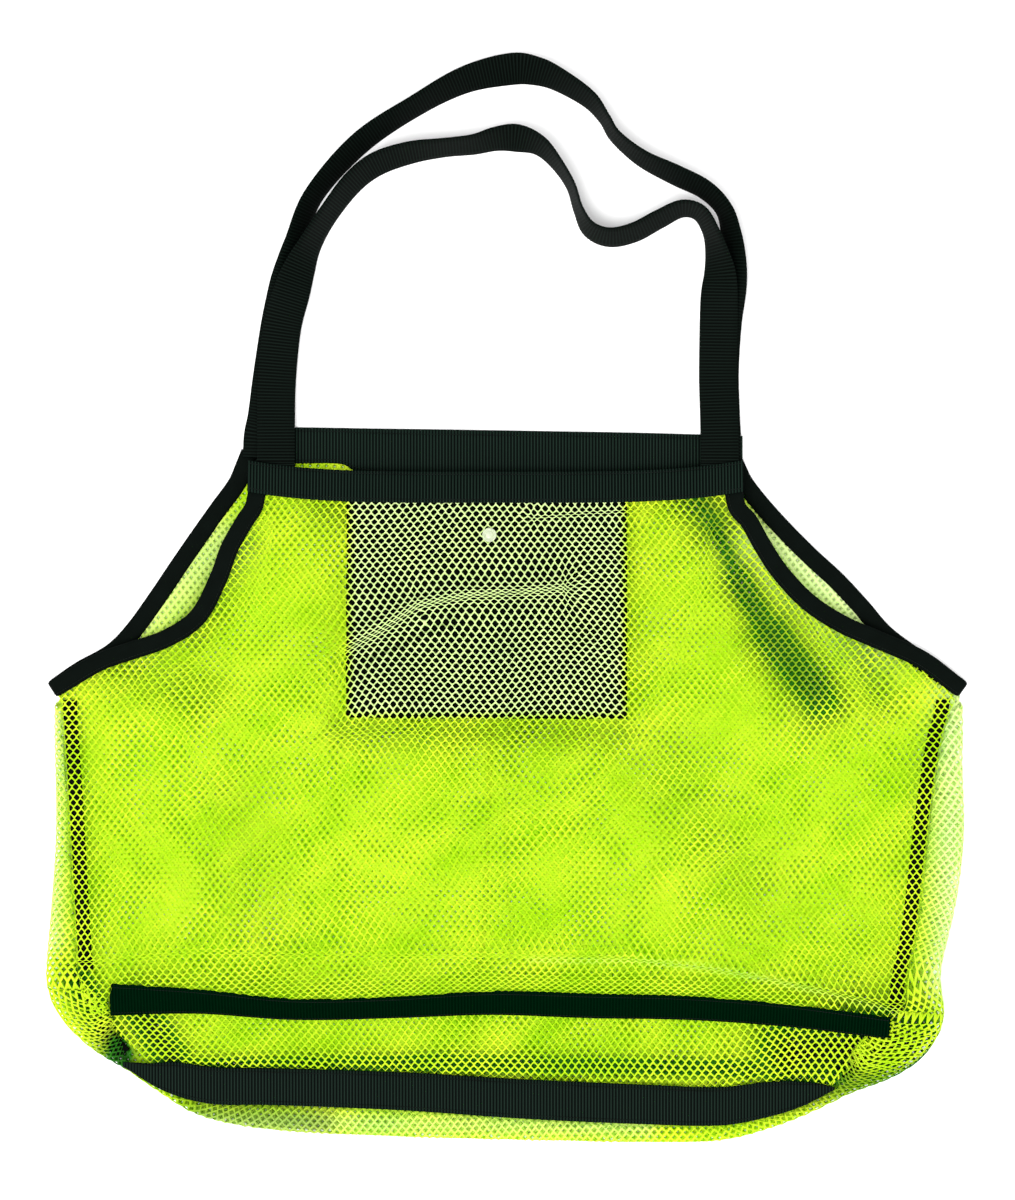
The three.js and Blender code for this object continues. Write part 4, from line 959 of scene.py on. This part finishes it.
def polyesterNet():
    # Warp-knitted polyester thread, dyed fluorescent lime: silky, and it glows where light passes
    # through the thread from layer to layer
    # shade and dark are painted shade colours, pale is a painted pale light colour
    look = {"light": "#F4FF36", "deep": "#C0E60E", "glow": "#D0FF06", "shade": "#2F8412", "dark": "#04180A",
            "pale": "#EEFFC4", "through": 0.42, "patch": 26 * mm, "lean": 0.6, "draw": 1.9,
            "filament": 0.35 * mm}
    material, tree, shader = startMaterial("polyesterNet")
    place = addNode(tree, "ShaderNodeTexCoord").outputs["Object"]
    drawn = addNode(tree, "ShaderNodeMapping", {
        "Vector": place, "Rotation": (0, 0, look["lean"]), "Scale": (look["draw"], 1, 1)},
        vector_type="TEXTURE")
    patches = addNode(tree, "ShaderNodeTexNoise", {
        "Vector": drawn.outputs[0], "Scale": 1 / look["patch"], "Detail": 5.0, "Roughness": 0.6})
    uneven = addNode(tree, "ShaderNodeMapRange", {
        "Value": patches.outputs["Fac"], "From Min": 0.33, "From Max": 0.66})
    shade = addNode(tree, "ShaderNodeMix", {
        "Factor": uneven.outputs["Result"], "A": linear(look["deep"]), "B": linear(look["light"])},
        data_type="RGBA")
    # The attributes paint shade (deep: green up to 1, nearly black up to 2) and pale light (pale) onto the
    # thread's colour, in front light and in the light passing through
    deep = addNode(tree, "ShaderNodeAttribute", attribute_name="deep").outputs["Fac"]
    pale = addNode(tree, "ShaderNodeAttribute", attribute_name="pale").outputs["Fac"]
    green = addNode(tree, "ShaderNodeMath", {0: deep, 1: 1.0}, operation="MINIMUM").outputs[0]
    black = addNode(tree, "ShaderNodeMath", {0: deep, 1: 1.0}, operation="SUBTRACT", use_clamp=True)
    black = black.outputs[0]
    dyeWithPaintedLight = []    # thread in front light, then with light passing through it
    for colour in (shade.outputs["Result"], linear(look["glow"])):
        for factor, paintedTone in ((pale, "pale"), (green, "shade"), (black, "dark")):
            colour = addNode(tree, "ShaderNodeMix", {
                "Factor": factor, "A": colour, "B": linear(look[paintedTone])}, data_type="RGBA").outputs["Result"]
        dyeWithPaintedLight.append(colour)
    tree.links.new(dyeWithPaintedLight[0], shader.inputs["Base Color"])
    passing = addNode(tree, "ShaderNodeBsdfTranslucent", {"Color": dyeWithPaintedLight[1]})
    both = addNode(tree, "ShaderNodeMixShader", {
        0: look["through"], 1: shader.outputs[0], 2: passing.outputs[0]})
    tree.links.new(both.outputs[0], tree.nodes["Material Output"].inputs["Surface"])
    filaments = addNode(tree, "ShaderNodeTexNoise", {
        "Vector": place, "Scale": 1 / look["filament"], "Detail": 1.0})
    bump = addNode(tree, "ShaderNodeBump", {
        "Height": filaments.outputs["Fac"], "Strength": 0.35, "Distance": 0.1 * mm})
    tree.links.new(bump.outputs[0], shader.inputs["Normal"])
    shader.inputs["Roughness"].default_value = 0.45
    shader.inputs["Specular IOR Level"].default_value = 0.13
    return material


def blackWeave(name, look):
    # Woven polyester dyed black: matt, with a painted highlight: grey glints painted along the ribs where
    # they catch the light
    material, tree, shader = startMaterial(name)
    place = addNode(tree, "ShaderNodeTexCoord").outputs[look["coordinates"]]
    patches = addNode(tree, "ShaderNodeTexNoise", {
        "Vector": place, "Scale": 1 / look["patch"], "Detail": 4.0})
    shade = addNode(tree, "ShaderNodeMix", {
        "Factor": patches.outputs["Fac"], "A": linear(look["dark"]), "B": linear(look["light"])},
        data_type="RGBA")
    tree.links.new(shade.outputs["Result"], shader.inputs["Base Color"])
    # Painted highlight: the glint colour is painted into the base colour along the ribs
    if "rib" in look:
        ribs = addNode(tree, "ShaderNodeTexWave", {"Vector": place, "Scale": math.pi / 10 / look["rib"]})
        ridge = addNode(tree, "ShaderNodeMath", {0: ribs.outputs["Fac"], 1: 2.5}, operation="POWER")
        striped = addNode(tree, "ShaderNodeMix", {
            "Factor": ridge.outputs[0], "A": shade.outputs["Result"], "B": linear(look["glint"])},
            data_type="RGBA")
        tree.links.new(striped.outputs["Result"], shader.inputs["Base Color"])
    threads = addNode(tree, "ShaderNodeTexVoronoi", {
        "Vector": place, "Scale": 1 / look["thread"], "Randomness": 0.25})
    bump = addNode(tree, "ShaderNodeBump", {
        "Height": threads.outputs["Distance"], "Strength": look["bump"], "Distance": 0.15 * mm})
    tree.links.new(bump.outputs[0], shader.inputs["Normal"])
    shader.inputs["Roughness"].default_value = look["roughness"]
    shader.inputs["Specular IOR Level"].default_value = look["specular"]
    return material


def clearPlastic():
    # Moulded clear polycarbonate: glossy, slightly milky
    material, tree, shader = startMaterial("clearPolycarbonate")
    place = addNode(tree, "ShaderNodeTexCoord").outputs["Object"]
    milk = addNode(tree, "ShaderNodeTexNoise", {"Vector": place, "Scale": 1 / (2 * mm), "Detail": 2.0})
    shade = addNode(tree, "ShaderNodeMix", {
        "Factor": milk.outputs["Fac"], "A": linear("#C0CBA8"), "B": linear("#F2FADC")}, data_type="RGBA")
    tree.links.new(shade.outputs["Result"], shader.inputs["Base Color"])
    shader.inputs["Roughness"].default_value = 0.16
    shader.inputs["IOR"].default_value = 1.58
    shader.inputs["Transmission Weight"].default_value = 0.45
    return material


lime = polyesterNet()
# Its ribs are drawn a little coarser than the real 1.3 mm, so that they show
grosgrain = blackWeave("polyesterGrosgrain", {
    "coordinates": "UV", "dark": "#010302", "light": "#020604", "glint": "#17261F", "patch": 7 * mm,
    "rib": webbing["ribs"], "thread": 0.45 * mm, "bump": 0.4, "roughness": 0.6, "specular": 0.02})
# Painted shade: a darker copy of the grosgrain with a dimmer painted glint, for the handles
shadedStrapGrosgrain = blackWeave("polyesterGrosgrainShadedStrap", {
    "coordinates": "UV", "dark": "#000100", "light": "#020503", "glint": "#0D1612", "patch": 30 * mm,
    "rib": webbing["ribs"], "thread": 0.45 * mm, "bump": 0.4, "roughness": 0.6, "specular": 0.02})
# Painted shade: a darker, greener copy of the grosgrain with almost no glint, for the front bottom webbing
shadedGrosgrain = blackWeave("polyesterGrosgrainShaded", {
    "coordinates": "UV", "dark": "#000803", "light": "#001004", "glint": "#02180A", "patch": 7 * mm,
    "rib": webbing["ribs"], "thread": 0.45 * mm, "bump": 0.4, "roughness": 0.8, "specular": 0.0})
bindingTape = blackWeave("cottonBindingTape", {
    "coordinates": "UV", "dark": "#000301", "light": "#040A07", "patch": 9 * mm, "thread": 0.7 * mm,
    "bump": 0.6, "roughness": 0.75, "specular": 0.04})
pocketCloth = blackWeave("polyesterPocketCloth", {
    "coordinates": "UV", "dark": "#000200", "light": "#020602", "patch": 25 * mm, "thread": 0.6 * mm,
    "bump": 0.4, "roughness": 0.85, "specular": 0.03})
stitchThread = blackWeave("polyesterStitchThread", {
    "coordinates": "Object", "dark": "#020503", "light": "#0E1512", "patch": 3 * mm, "thread": 0.4 * mm,
    "bump": 0.3, "roughness": 0.5, "specular": 0.1})
snapPlastic = clearPlastic()


def finish(piece, material, slotName, *nodes):
    piece.data.materials.clear()
    piece.data.materials.append(material)
    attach(piece, "root")
    if nodes:
        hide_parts(*nodes)
    return piece


# Ribbons: webbing, bands and tapes with woven ribs across them

def evenLine(lower, upper, pitch):
    middle = (lower + upper) / 2
    run = np.concatenate([[0], np.cumsum(np.linalg.norm(np.diff(middle, axis=0), axis=1))])
    count = max(int(round(run[-1] / pitch)), 4)
    even = np.linspace(0, run[-1], count * 2 + 1)
    lower, upper = [
        np.column_stack([np.interp(even, run, line[:, axis]) for axis in range(3)])
        for line in (lower, upper)]
    return lower, upper, even


def ribbonFrame(lower, upper):
    way = np.gradient((lower + upper) / 2, axis=0)
    normal = np.cross(way, upper - lower)
    return normal / np.linalg.norm(normal, axis=1)[:, None]


def buildRibbon(
    name, lower, upper, thickness, ribs, ribDepth=0.28, across=(0, 0.03, 0.2, 0.5, 0.8, 0.97, 1),
):
    lower, upper, run = evenLine(lower, upper, ribs)
    normal = ribbonFrame(lower, upper)
    across = np.array(across)
    edge = np.array([0.35, 0.85] + [1.0] * (len(across) - 4) + [0.85, 0.35])
    rib = np.where(np.arange(len(run)) % 2 == 0, 1 - ribDepth, 1.0)[:, None] * edge[None, :]
    flat = lower[:, None, :] * (1 - across[None, :, None]) + upper[:, None, :] * across[None, :, None]
    lift = normal[:, None, :] * (rib * thickness / 2)[..., None]
    ring = np.concatenate([flat + lift, (flat - lift)[:, ::-1]], axis=1)
    stations, sides = ring.shape[:2]
    points = ring.reshape(-1, 3)
    index = np.arange(stations * sides).reshape(stations, sides)
    following = np.roll(index, -1, axis=1)
    faces = np.stack([index[:-1], index[1:], following[1:], following[:-1]], axis=-1).reshape(-1, 4)
    half = len(across)
    caps = []
    for station in (0, stations - 1):
        top = index[station, :half]
        bottom = index[station, half:][::-1]
        quads = np.column_stack([top[:-1], top[1:], bottom[1:], bottom[:-1]])
        caps.append(quads if station == 0 else quads[:, ::-1])
    width = np.linalg.norm(upper - lower, axis=1)
    acrossUv = np.concatenate([across, across[::-1]])[None, :] * width[:, None]
    uv = np.stack([np.repeat(run[:, None], sides, axis=1), acrossUv], axis=-1).reshape(-1, 2)
    return makeMesh(name, points, [faces] + caps, uv)


stitchRows = []
stitch = {"pitch": 3.2 * mm, "length": 2.3 * mm, "radius": 0.28 * mm, "sink": 0.1 * mm}


def addStitches(lower, upper, thickness, shares, sides=(1,)):
    lower, upper, run = evenLine(lower, upper, stitch["pitch"] / 2)
    normal = ribbonFrame(lower, upper)
    way = np.gradient((lower + upper) / 2, axis=0)
    way /= np.linalg.norm(way, axis=1)[:, None]
    for share in shares:
        for side in sides:
            centre = lower * (1 - share) + upper * share + normal * side * (thickness / 2 - stitch["sink"])
            picked = slice(2, -2, 2)
            stitchRows.append((centre[picked], way[picked], normal[picked] * side))


def buildStitching(name):
    points, faces = [], []
    count = 0
    for centre, way, normal in stitchRows:
        side = np.cross(normal, way)
        tip = way * stitch["length"] / 2
        corners = [centre - tip, centre + side * stitch["radius"], centre + normal * stitch["radius"] * 1.4,
                   centre - side * stitch["radius"], centre - normal * stitch["radius"], centre + tip]
        block = np.stack(corners, axis=1)
        start = count + 6 * np.arange(len(centre))[:, None]
        for a, b in ((1, 2), (2, 3), (3, 4), (4, 1)):
            faces.append(start + np.array([0, b, a]))
            faces.append(start + np.array([5, a, b]))
        points.append(block.reshape(-1, 3))
        count += 6 * len(centre)
    return makeMesh(name, np.vstack(points), faces)


# Nets
print("net panels")
frontColumns = (int(-0.27 / acrossStep), int(0.27 / acrossStep))
frontRows = (int((bottomY + 10 * mm) / upStep), int((mouthY + 20 * mm) / upStep))
frontRows = (frontRows[0] - 24, frontRows[1] + 6)
backColumns = (int(-0.31 / acrossStep), int(0.31 / acrossStep))
backRows = (int((bottomY - 80 * mm) / upStep), int((backBandLowY + 40 * mm) / upStep))
baseColumns = (int(-0.24 / acrossStep), int(0.24 / acrossStep))
nets = []
for name, place, inside, columns, rows, lay, seed, half, node in (
    ("front_net_left", placeFront, insideFront, frontColumns, frontRows, frontLay, 11, -1, "front_panel"),
    ("front_net_right", placeFront, insideFront, frontColumns, frontRows, frontLay, 11, 1, "front_panel"),
    ("back_net_left", placeBack, insideBack, backColumns, backRows, backLay, 12, -1, "back_panel"),
    ("back_net_right", placeBack, insideBack, backColumns, backRows, backLay, 12, 1, "back_panel"),
    ("base_net", placeBase, insideBase, baseColumns, (-8, 66), baseLay, 13, 0, "base_panel"),
):
    piece, cut, thread = buildNet(name, place, inside, columns, rows, lay, seed, half)
    nets.append(finish(piece, lime, "net_green", node))
    print(piece.name, "cut", np.round(cut * 1000), "mm, thread", round(thread / cut.prod(), 3))
for piece in nets:
    print(piece.name, sum(len(face.vertices) - 2 for face in piece.data.polygons), "triangles")


# Bands along the mouth
print("bands and bindings")


def frontBandLines():
    xs = np.linspace(mouthLeft, mouthRight, 200)
    top = readTable(swell, "lift", 1.0) * bag["crestDepth"]
    lower = np.column_stack([xs, bandLowY(xs), np.full(len(xs), top)])
    upper = np.column_stack([xs, bandHighY(xs), np.full(len(xs), top - bandDrop)])
    return lower, upper


def backBandLines():
    at = np.linspace(0, 1, 200)
    xs = mouthLeft + (mouthRight - mouthLeft) * at
    height = np.full(len(xs), band["thickness"] / 2)
    low = backBandLowY - readTable(backBandHang, "low", at) * mm
    high = backBandLowY + band["backWidth"] + readTable(backBandHang, "high", at) * mm
    return np.column_stack([xs, low, height]), np.column_stack([xs, high, height])


for name, lines, node in (
    ("front_band", frontBandLines(), "front_top_band"),
    ("back_band", backBandLines(), "back_top_band"),
):
    piece = buildRibbon(name, *lines, band["thickness"], webbing["ribs"])
    finish(piece, grosgrain, "webbing_black", node)
    addStitches(*lines, band["thickness"], (0.1, 0.9))


# Bindings folded over the shoulders
def bindingLines(front, backLine, inward, turnSteps=14):
    tucked = front[0] + (front[0] - front[3]) / np.linalg.norm(front[0] - front[3]) * binding["frontTuck"]
    tucked[2] = front[0, 2] - binding["frontSink"]
    front = np.vstack([tucked * (1 - t) + front[0] * t for t in np.linspace(0, 0.9, 6)] + [front])
    way = (backLine[0] - backLine[3]) / np.linalg.norm(backLine[0] - backLine[3])
    hidden = backLine[0] + way * binding["backTuck"]
    backLine = np.vstack([hidden * (1 - t) + backLine[0] * t for t in np.linspace(0, 0.9, 6)] + [backLine])
    frontInner = offsetLine(front, inward * binding["width"])
    backInner = offsetLine(backLine, inward * binding["width"])
    way = front[-1] - front[-2]
    way[2] = 0
    way /= np.linalg.norm(way)
    angles = np.linspace(0, math.pi, turnSteps + 1)[1:-1, None]
    turns = []
    for first, second in ((front[-1], backLine[-1]), (frontInner[-1], backInner[-1])):
        point = first + (second - first) * (1 - np.cos(angles)) / 2
        turns.append(point + way * np.sin(angles) * (first[2] - second[2]) / 2)
    outer = np.vstack([front, turns[0], backLine[::-1]])
    inner = np.vstack([frontInner, turns[1], backInner[::-1]])
    # The ends are folded to a round tip
    middle = (outer + inner) / 2
    run = np.concatenate([[0], np.cumsum(np.linalg.norm(np.diff(middle, axis=0), axis=1))])
    turnRun = run[len(front) + len(turns[0]) // 2]
    fromTip = np.clip(np.abs(run - turnRun) / binding["tip"], 0, 1)
    wide = binding["tipWidth"] + (1 - binding["tipWidth"]) * np.sqrt(1 - (1 - fromTip) ** 2)[:, None]
    outer, inner = middle + (outer - middle) * wide, middle + (inner - middle) * wide
    return (outer, inner) if inward < 0 else (inner, outer)


for name, front, backLine, inward in (
    ("left_edge_binding", leftFront, leftBack, -1),
    ("right_edge_binding", rightFront, rightBack, 1),
):
    lines = bindingLines(front, backLine, inward)
    piece = buildRibbon(name, *lines, binding["thickness"], 1.1 * mm, ribDepth=0.10)
    finish(piece, bindingTape, "webbing_black", name.replace("_edge", ""))
    addStitches(*lines, binding["thickness"], (0.82,) if inward < 0 else (0.18,))


# Bottom webbings
print("webbing")


def lipLines():
    xs = np.linspace(lipShown[0], lipShown[1], 240) * halfBody
    lower = np.column_stack([xs, lipLowY(xs), lipLowZ(xs)])
    upper = np.column_stack([xs, lipHighY(xs), lipHighZ(xs)])
    return lower, upper


alongHeel = np.linspace(0, 1, 240)
for name, lines, node in (
    ("front_bottom_webbing", lipLines(), "front_base_webbing"),
    ("back_bottom_webbing", [heelPoints(alongHeel, row, heelShowRun) for row in (0.0, 1.0)],
     "back_base_webbing"),
):
    piece = buildRibbon(name, *lines, webbing["thickness"], webbing["ribs"])
    finish(piece, shadedGrosgrain if node == "front_base_webbing" else grosgrain, "webbing_black", node)
    addStitches(*lines, webbing["thickness"], (0.1, 0.9))


def endTapeLines(source, first, last):
    line = seamPoints(source, np.linspace(first, last, 40)) - [0, 0, tape["drop"]]
    return offsetLine(line, -bag["edgeGap"]), offsetLine(line, -tape["width"] - bag["edgeGap"])


for name, lines, node in (
    ("left_end_tape", endTapeLines(leftBase, 0.42, 0.9), "left_base_tape"),
    ("right_end_tape", endTapeLines(rightBase, 0.1, 0.6), "right_base_tape"),
):
    finish(buildRibbon(name, *lines, tape["thickness"], 1.0 * mm, 0.12), bindingTape, "webbing_black", node)


# What lies under the front net: side tapes and the pocket

def underFrontPoints(x, y, depth):
    field = sampleFront(x.ravel(), y.ravel())
    normals = np.column_stack([-field[:, 1], -field[:, 2], np.ones(x.size)])
    normals /= np.linalg.norm(normals, axis=1)[:, None]
    points = np.column_stack([x.ravel(), y.ravel(), field[:, 0]]) - normals * depth
    return points.reshape(*x.shape, 3)


def sideTapeLines(edge, inward):
    top = cornerY - binding["width"]
    bottomX = edge[-1:, 0]
    lipTop = lipHighY(bottomX)[0]
    bottom = lipTop + tape["end"] * (crestY(bottomX)[0] - lipTop)
    ys = np.linspace(bottom, top, 200)
    xs, _ = edgeAt(edge, ys)
    depth = back["thickness"] / 2 + bag["gap"] + tape["thickness"] / 2
    outer = underFrontPoints(xs + inward * 0.5 * mm, ys, depth)
    inner = underFrontPoints(xs + inward * tape["width"], ys, depth)
    return (inner, outer) if inward > 0 else (outer, inner)


for name, edge, inward, node in (
    ("left_seam_tape", leftEdge, 1, "left_side_tape"),
    ("right_seam_tape", rightEdge, -1, "right_side_tape"),
):
    piece = buildRibbon(name, *sideTapeLines(edge, inward), tape["thickness"], 1.0 * mm, 0.12)
    finish(piece, bindingTape, "webbing_black", node)


def buildSheet(name, grid, thickness):
    across = np.gradient(grid, axis=0)
    up = np.gradient(grid, axis=1)
    normals = np.cross(across, up)
    normals /= np.linalg.norm(normals, axis=2)[..., None]
    columns, rows = grid.shape[:2]
    lift = normals * (thickness / 2)[..., None]
    points = np.concatenate([(grid + lift).reshape(-1, 3), (grid - lift).reshape(-1, 3)])
    index = np.arange(columns * rows).reshape(columns, rows)
    count = columns * rows
    top = np.stack([index[:-1, :-1], index[1:, :-1], index[1:, 1:], index[:-1, 1:]], axis=-1).reshape(-1, 4)
    rim = np.concatenate([index[:-1, 0], index[-1, :-1], index[:0:-1, -1], index[0, :0:-1]])
    following = np.roll(rim, -1)
    wall = np.column_stack([following, rim, rim + count, following + count])
    faces = [top, top[:, ::-1] + count, wall]
    runX = np.linalg.norm(np.diff(grid, axis=0, prepend=grid[:1]), axis=2).cumsum(0)
    runY = np.linalg.norm(np.diff(grid, axis=1, prepend=grid[:, :1]), axis=2).cumsum(1)
    uv = np.stack([runX, runY], axis=-1).reshape(-1, 2)
    return makeMesh(name, points, faces, np.concatenate([uv, uv]))


pocketLeft = bag["mouthShift"] + pocket["shift"] - pocket["width"] / 2
acrossPocket = np.linspace(pocketLeft, pocketLeft + pocket["width"], 120)
upPocket = np.linspace(0, 1, 100)
pocketX = np.repeat(acrossPocket[:, None], len(upPocket), axis=1)
pocketTop = bandLowY(acrossPocket)[:, None] + 2 * mm
pocketY = pocketTop - (pocket["height"] + 2 * mm) * (1 - upPocket[None, :])
pocketGrid = underFrontPoints(pocketX, pocketY, back["thickness"] / 2 + bag["gap"] + pocket["thickness"] / 2)
fromSides = np.minimum(pocketX - acrossPocket[0], acrossPocket[-1] - pocketX)
fromEdge = np.minimum(fromSides, pocketY - pocketY[:, :1])
hemmed = np.where(fromEdge < pocket["hem"], 1.0, 0.55)
pocketPiece = buildSheet("pocket_cloth", pocketGrid, pocket["thickness"] * hemmed)
finish(pocketPiece, pocketCloth, "pocket_black", "pocket")


# Handles
print("handles")
handleColumns = "across up turn lift"
backHandlePath = table(
    handleColumns,
    (-0.472, 0.006, 0, 0.1), (-0.47, 0.06, 0, 0.1), (-0.462, 0.11, 0, 0.095), (-0.452, 0.205, 0, 0.03),
    (-0.437, 0.325, 3, 0.02), (-0.424, 0.405, 12, 0.02), (-0.414, 0.47, 35, 0.02),
    (-0.402, 0.535, 55, 0.02), (-0.367, 0.65, 62, 0.02), (-0.273, 0.78, 58, 0.02),
    (-0.16, 0.872, 60, 0.02), (-0.062, 0.935, 50, 0.02), (0.03, 0.962, 38, 0.02),
    (0.082, 0.957, 46, 0.02), (0.128, 0.935, 57, 0.02), (0.188, 0.888, 66, 0.02), (0.22, 0.84, 75, 0.02),
    (0.243, 0.795, 74, 0.02), (0.296, 0.742, 68, 0.02), (0.362, 0.702, 62, 0.02),
    (0.423, 0.665, 64, 0.02), (0.462, 0.615, 66, 0.02), (0.476, 0.55, 58, 0.02), (0.476, 0.485, 38, 0.02),
    (0.47, 0.42, 16, 0.02), (0.46, 0.34, 4, 0.02), (0.454, 0.22, 0, 0.03), (0.456, 0.11, 0, 0.095),
    (0.458, 0.06, 0, 0.1), (0.458, 0.006, 0, 0.1),
)
frontHandlePath = table(
    handleColumns,
    (-0.443, -0.08, 0, 0.565), (-0.443, -0.01, 0, 0.295), (-0.443, 0.04, 0, 0.225),
    (-0.443, 0.11, 0, 0.195), (-0.441, 0.205, 0, 0.135), (-0.431, 0.325, 3, 0.125),
    (-0.414, 0.405, 12, 0.125), (-0.396, 0.47, 35, 0.1), (-0.374, 0.53, 55, 0.05), (-0.34, 0.6, 61, 0.02),
    (-0.29, 0.68, 58, 0.02), (-0.24, 0.728, 55, 0.02), (-0.172, 0.756, 58, 0.02),
    (-0.105, 0.768, 64, 0.02), (-0.044, 0.776, 62, 0.02), (0.002, 0.79, 55, 0.02),
    (0.044, 0.792, 48, 0.02), (0.088, 0.774, 62, 0.02), (0.122, 0.732, 73, 0.02),
    (0.152, 0.675, 78, 0.02), (0.168, 0.615, 77, 0.02), (0.19, 0.568, 68, 0.02), (0.23, 0.548, 63, 0.02),
    (0.28, 0.56, 62, 0.02), (0.33, 0.592, 63, 0.02), (0.376, 0.618, 66, 0.02), (0.412, 0.608, 68, 0.02),
    (0.434, 0.565, 67, 0.03), (0.446, 0.515, 56, 0.06), (0.453, 0.46, 36, 0.1), (0.452, 0.4, 15, 0.125),
    (0.451, 0.32, 4, 0.125), (0.45, 0.205, 0, 0.135), (0.452, 0.11, 0, 0.195), (0.453, 0.04, 0, 0.225),
    (0.453, -0.01, 0, 0.295), (0.453, -0.08, 0, 0.565),
)


def underBand(x, y):
    share = (y - bandLowY(x)) / bandRun
    top = readTable(swell, "lift", 1.0) * bag["crestDepth"]
    ceiling = top - share * bandDrop - (band["thickness"] + webbing["thickness"]) / 2 - 2 * bag["gap"]
    return np.where(share > 1.1, np.inf, ceiling)


def handleLines(path, ceiling, steps=700):
    at = np.linspace(0, 1, steps + 1)
    centre = np.column_stack([
        bag["mouthShift"] + readTable(path, "across", at) * bag["mouthWidth"],
        mouthY + readTable(path, "up", at) * bag["handleReach"],
        readTable(path, "lift", at) * webbing["width"],
    ])
    way = np.gradient(centre[:, :2], axis=0)
    way /= np.linalg.norm(way, axis=1)[:, None]
    turn = np.radians(readTable(path, "turn", at))
    side = np.column_stack([-way[:, 1] * np.cos(turn), way[:, 0] * np.cos(turn), np.sin(turn)])
    centre[:, 2] += webbing["width"] / 2 * np.sin(turn) + webbing["thickness"] / 2 * np.cos(turn)
    if ceiling:
        centre[:, 2] = np.minimum(centre[:, 2], underBand(centre[:, 0], centre[:, 1]))
    return centre - side * webbing["width"] / 2, centre + side * webbing["width"] / 2


for name, path, ceiling in (
    ("front_strap", frontHandlePath, True),
    ("back_strap", backHandlePath, False),
):
    lines = handleLines(path, ceiling)
    piece = buildRibbon(name, *lines, webbing["thickness"], webbing["ribs"])
    finish(piece, shadedStrapGrosgrain, "webbing_black", name.replace("strap", "handle"))

stitching = buildStitching("seam_stitching")
finish(stitching, stitchThread, "webbing_black")


# Press stud on the pocket's mouth
print("press stud")
stud = {
    "diameter": 7.5 * mm, "thickness": 1.6 * mm, "shift": -3 * mm, "drop": 17 * mm, "sides": 48,
    # how far out and how much higher each ring lies than the one before
    "steps": ((1.0, 0.40), (0.84, 0.26), (0.76, -0.34), (0.58, -0.04), (0.50, 0.44), (0.34, 0.12)),
}


def buildStud(name, below, depth):
    bpy.ops.object.select_all(action="DESELECT")
    bpy.ops.mesh.primitive_circle_add(vertices=stud["sides"], radius=stud["diameter"] / 2, fill_type="NGON")
    piece = bpy.context.object
    piece.name = name
    bpy.ops.object.mode_set(mode="EDIT")
    bpy.ops.mesh.select_all(action="SELECT")
    up = stud["thickness"]
    width = 1.0
    for out, rise in stud["steps"]:
        bpy.ops.mesh.extrude_region_move(TRANSFORM_OT_translate={"value": (0, 0, rise * up)})
        bpy.ops.transform.resize(value=(out / width, out / width, 1), center_override=(0, 0, 0))
        width = out
    bpy.ops.mesh.select_all(action="SELECT")
    bpy.ops.mesh.normals_make_consistent(inside=False)
    bpy.ops.object.mode_set(mode="OBJECT")
    bevel = piece.modifiers.new("edge", "BEVEL")
    bevel.width = 0.12 * mm
    bevel.segments = 2
    bpy.ops.object.modifier_apply(modifier="edge")
    bpy.ops.object.shade_smooth_by_angle(angle=math.radians(40))
    x = np.array([bag["mouthShift"] + stud["shift"]])
    y = bandLowY(x) - stud["drop"]
    field = sampleFront(x, y)[0]
    normal = np.array([-field[1], -field[2], 1.0])
    normal /= np.linalg.norm(normal)
    side = np.cross([0, 1.0, 0], normal)
    side /= np.linalg.norm(side)
    facing = -1.0 if below else 1.0
    frameAxes = np.stack([side * facing, np.cross(normal, side), normal * facing])
    seat = np.array([x[0], y[0], field[0]]) + normal * depth
    points = np.array([v.co[:] for v in piece.data.vertices]) @ frameAxes + seat
    piece.data.vertices.foreach_set("co", points.ravel())
    piece.data.update()
    return piece


studSeat = back["thickness"] / 2 + bag["gap"]
for name, below, depth, node in (
    ("stud_cap", False, studSeat, "snap_cap"),
    ("stud_socket", True, -studSeat - bag["gap"] - pocket["thickness"], "snap_socket"),
):
    finish(buildStud(name, below, depth), snapPlastic, "snap_clear", node)


# Ground, light and camera
print("studio")
bpy.ops.object.select_all(action="DESELECT")
bpy.ops.mesh.primitive_plane_add(size=8, location=(0, 0, -0.2 * mm))
ground = bpy.context.object
ground.name = "ground"
groundPaper, groundTree, groundShader = startMaterial("whitePaper")
groundShader.inputs["Base Color"].default_value = linear("#FFFFFF")
groundShader.inputs["Roughness"].default_value = 0.9
groundShader.inputs["Specular IOR Level"].default_value = 0.1
ground.data.materials.append(groundPaper)

studio = {"sky": 1.4, "sun": 2.2, "sunSpread": 30, "sunTilt": (18, -14), "exposure": 0.0}
world = bpy.data.worlds.new("studio")
world.use_nodes = True
world.node_tree.nodes["Background"].inputs["Color"].default_value = (1, 1, 1, 1)
world.node_tree.nodes["Background"].inputs["Strength"].default_value = studio["sky"]
bpy.context.scene.world = world
sun = bpy.data.objects.new("softbox", bpy.data.lights.new("softbox", "SUN"))
sun.data.energy = studio["sun"]
sun.data.angle = math.radians(studio["sunSpread"])
sun.rotation_euler = [math.radians(a) for a in (studio["sunTilt"][0], studio["sunTilt"][1], 0)]
bpy.context.scene.collection.objects.link(sun)
bpy.context.scene.view_settings.view_transform = "Standard"
bpy.context.scene.view_settings.exposure = studio["exposure"]

# The photograph looks straight down: its picture plane is 0.526 mm to the pixel at the ground
view = {"distance": 3.5, "perPixel": 0.526 * mm, "width": 1015, "height": 1200, "centreX": 507.5 - 506.75}
camera = bpy.data.objects.new("camera", bpy.data.cameras.new("camera"))
camera.data.sensor_width = 36
camera.data.lens = camera.data.sensor_width * view["distance"] / (view["height"] * view["perPixel"])
camera.data.clip_end = 20
camera.location = (view["centreX"] * view["perPixel"], (599 - 600) * view["perPixel"], view["distance"])
bpy.context.scene.collection.objects.link(camera)
bpy.context.scene.camera = camera
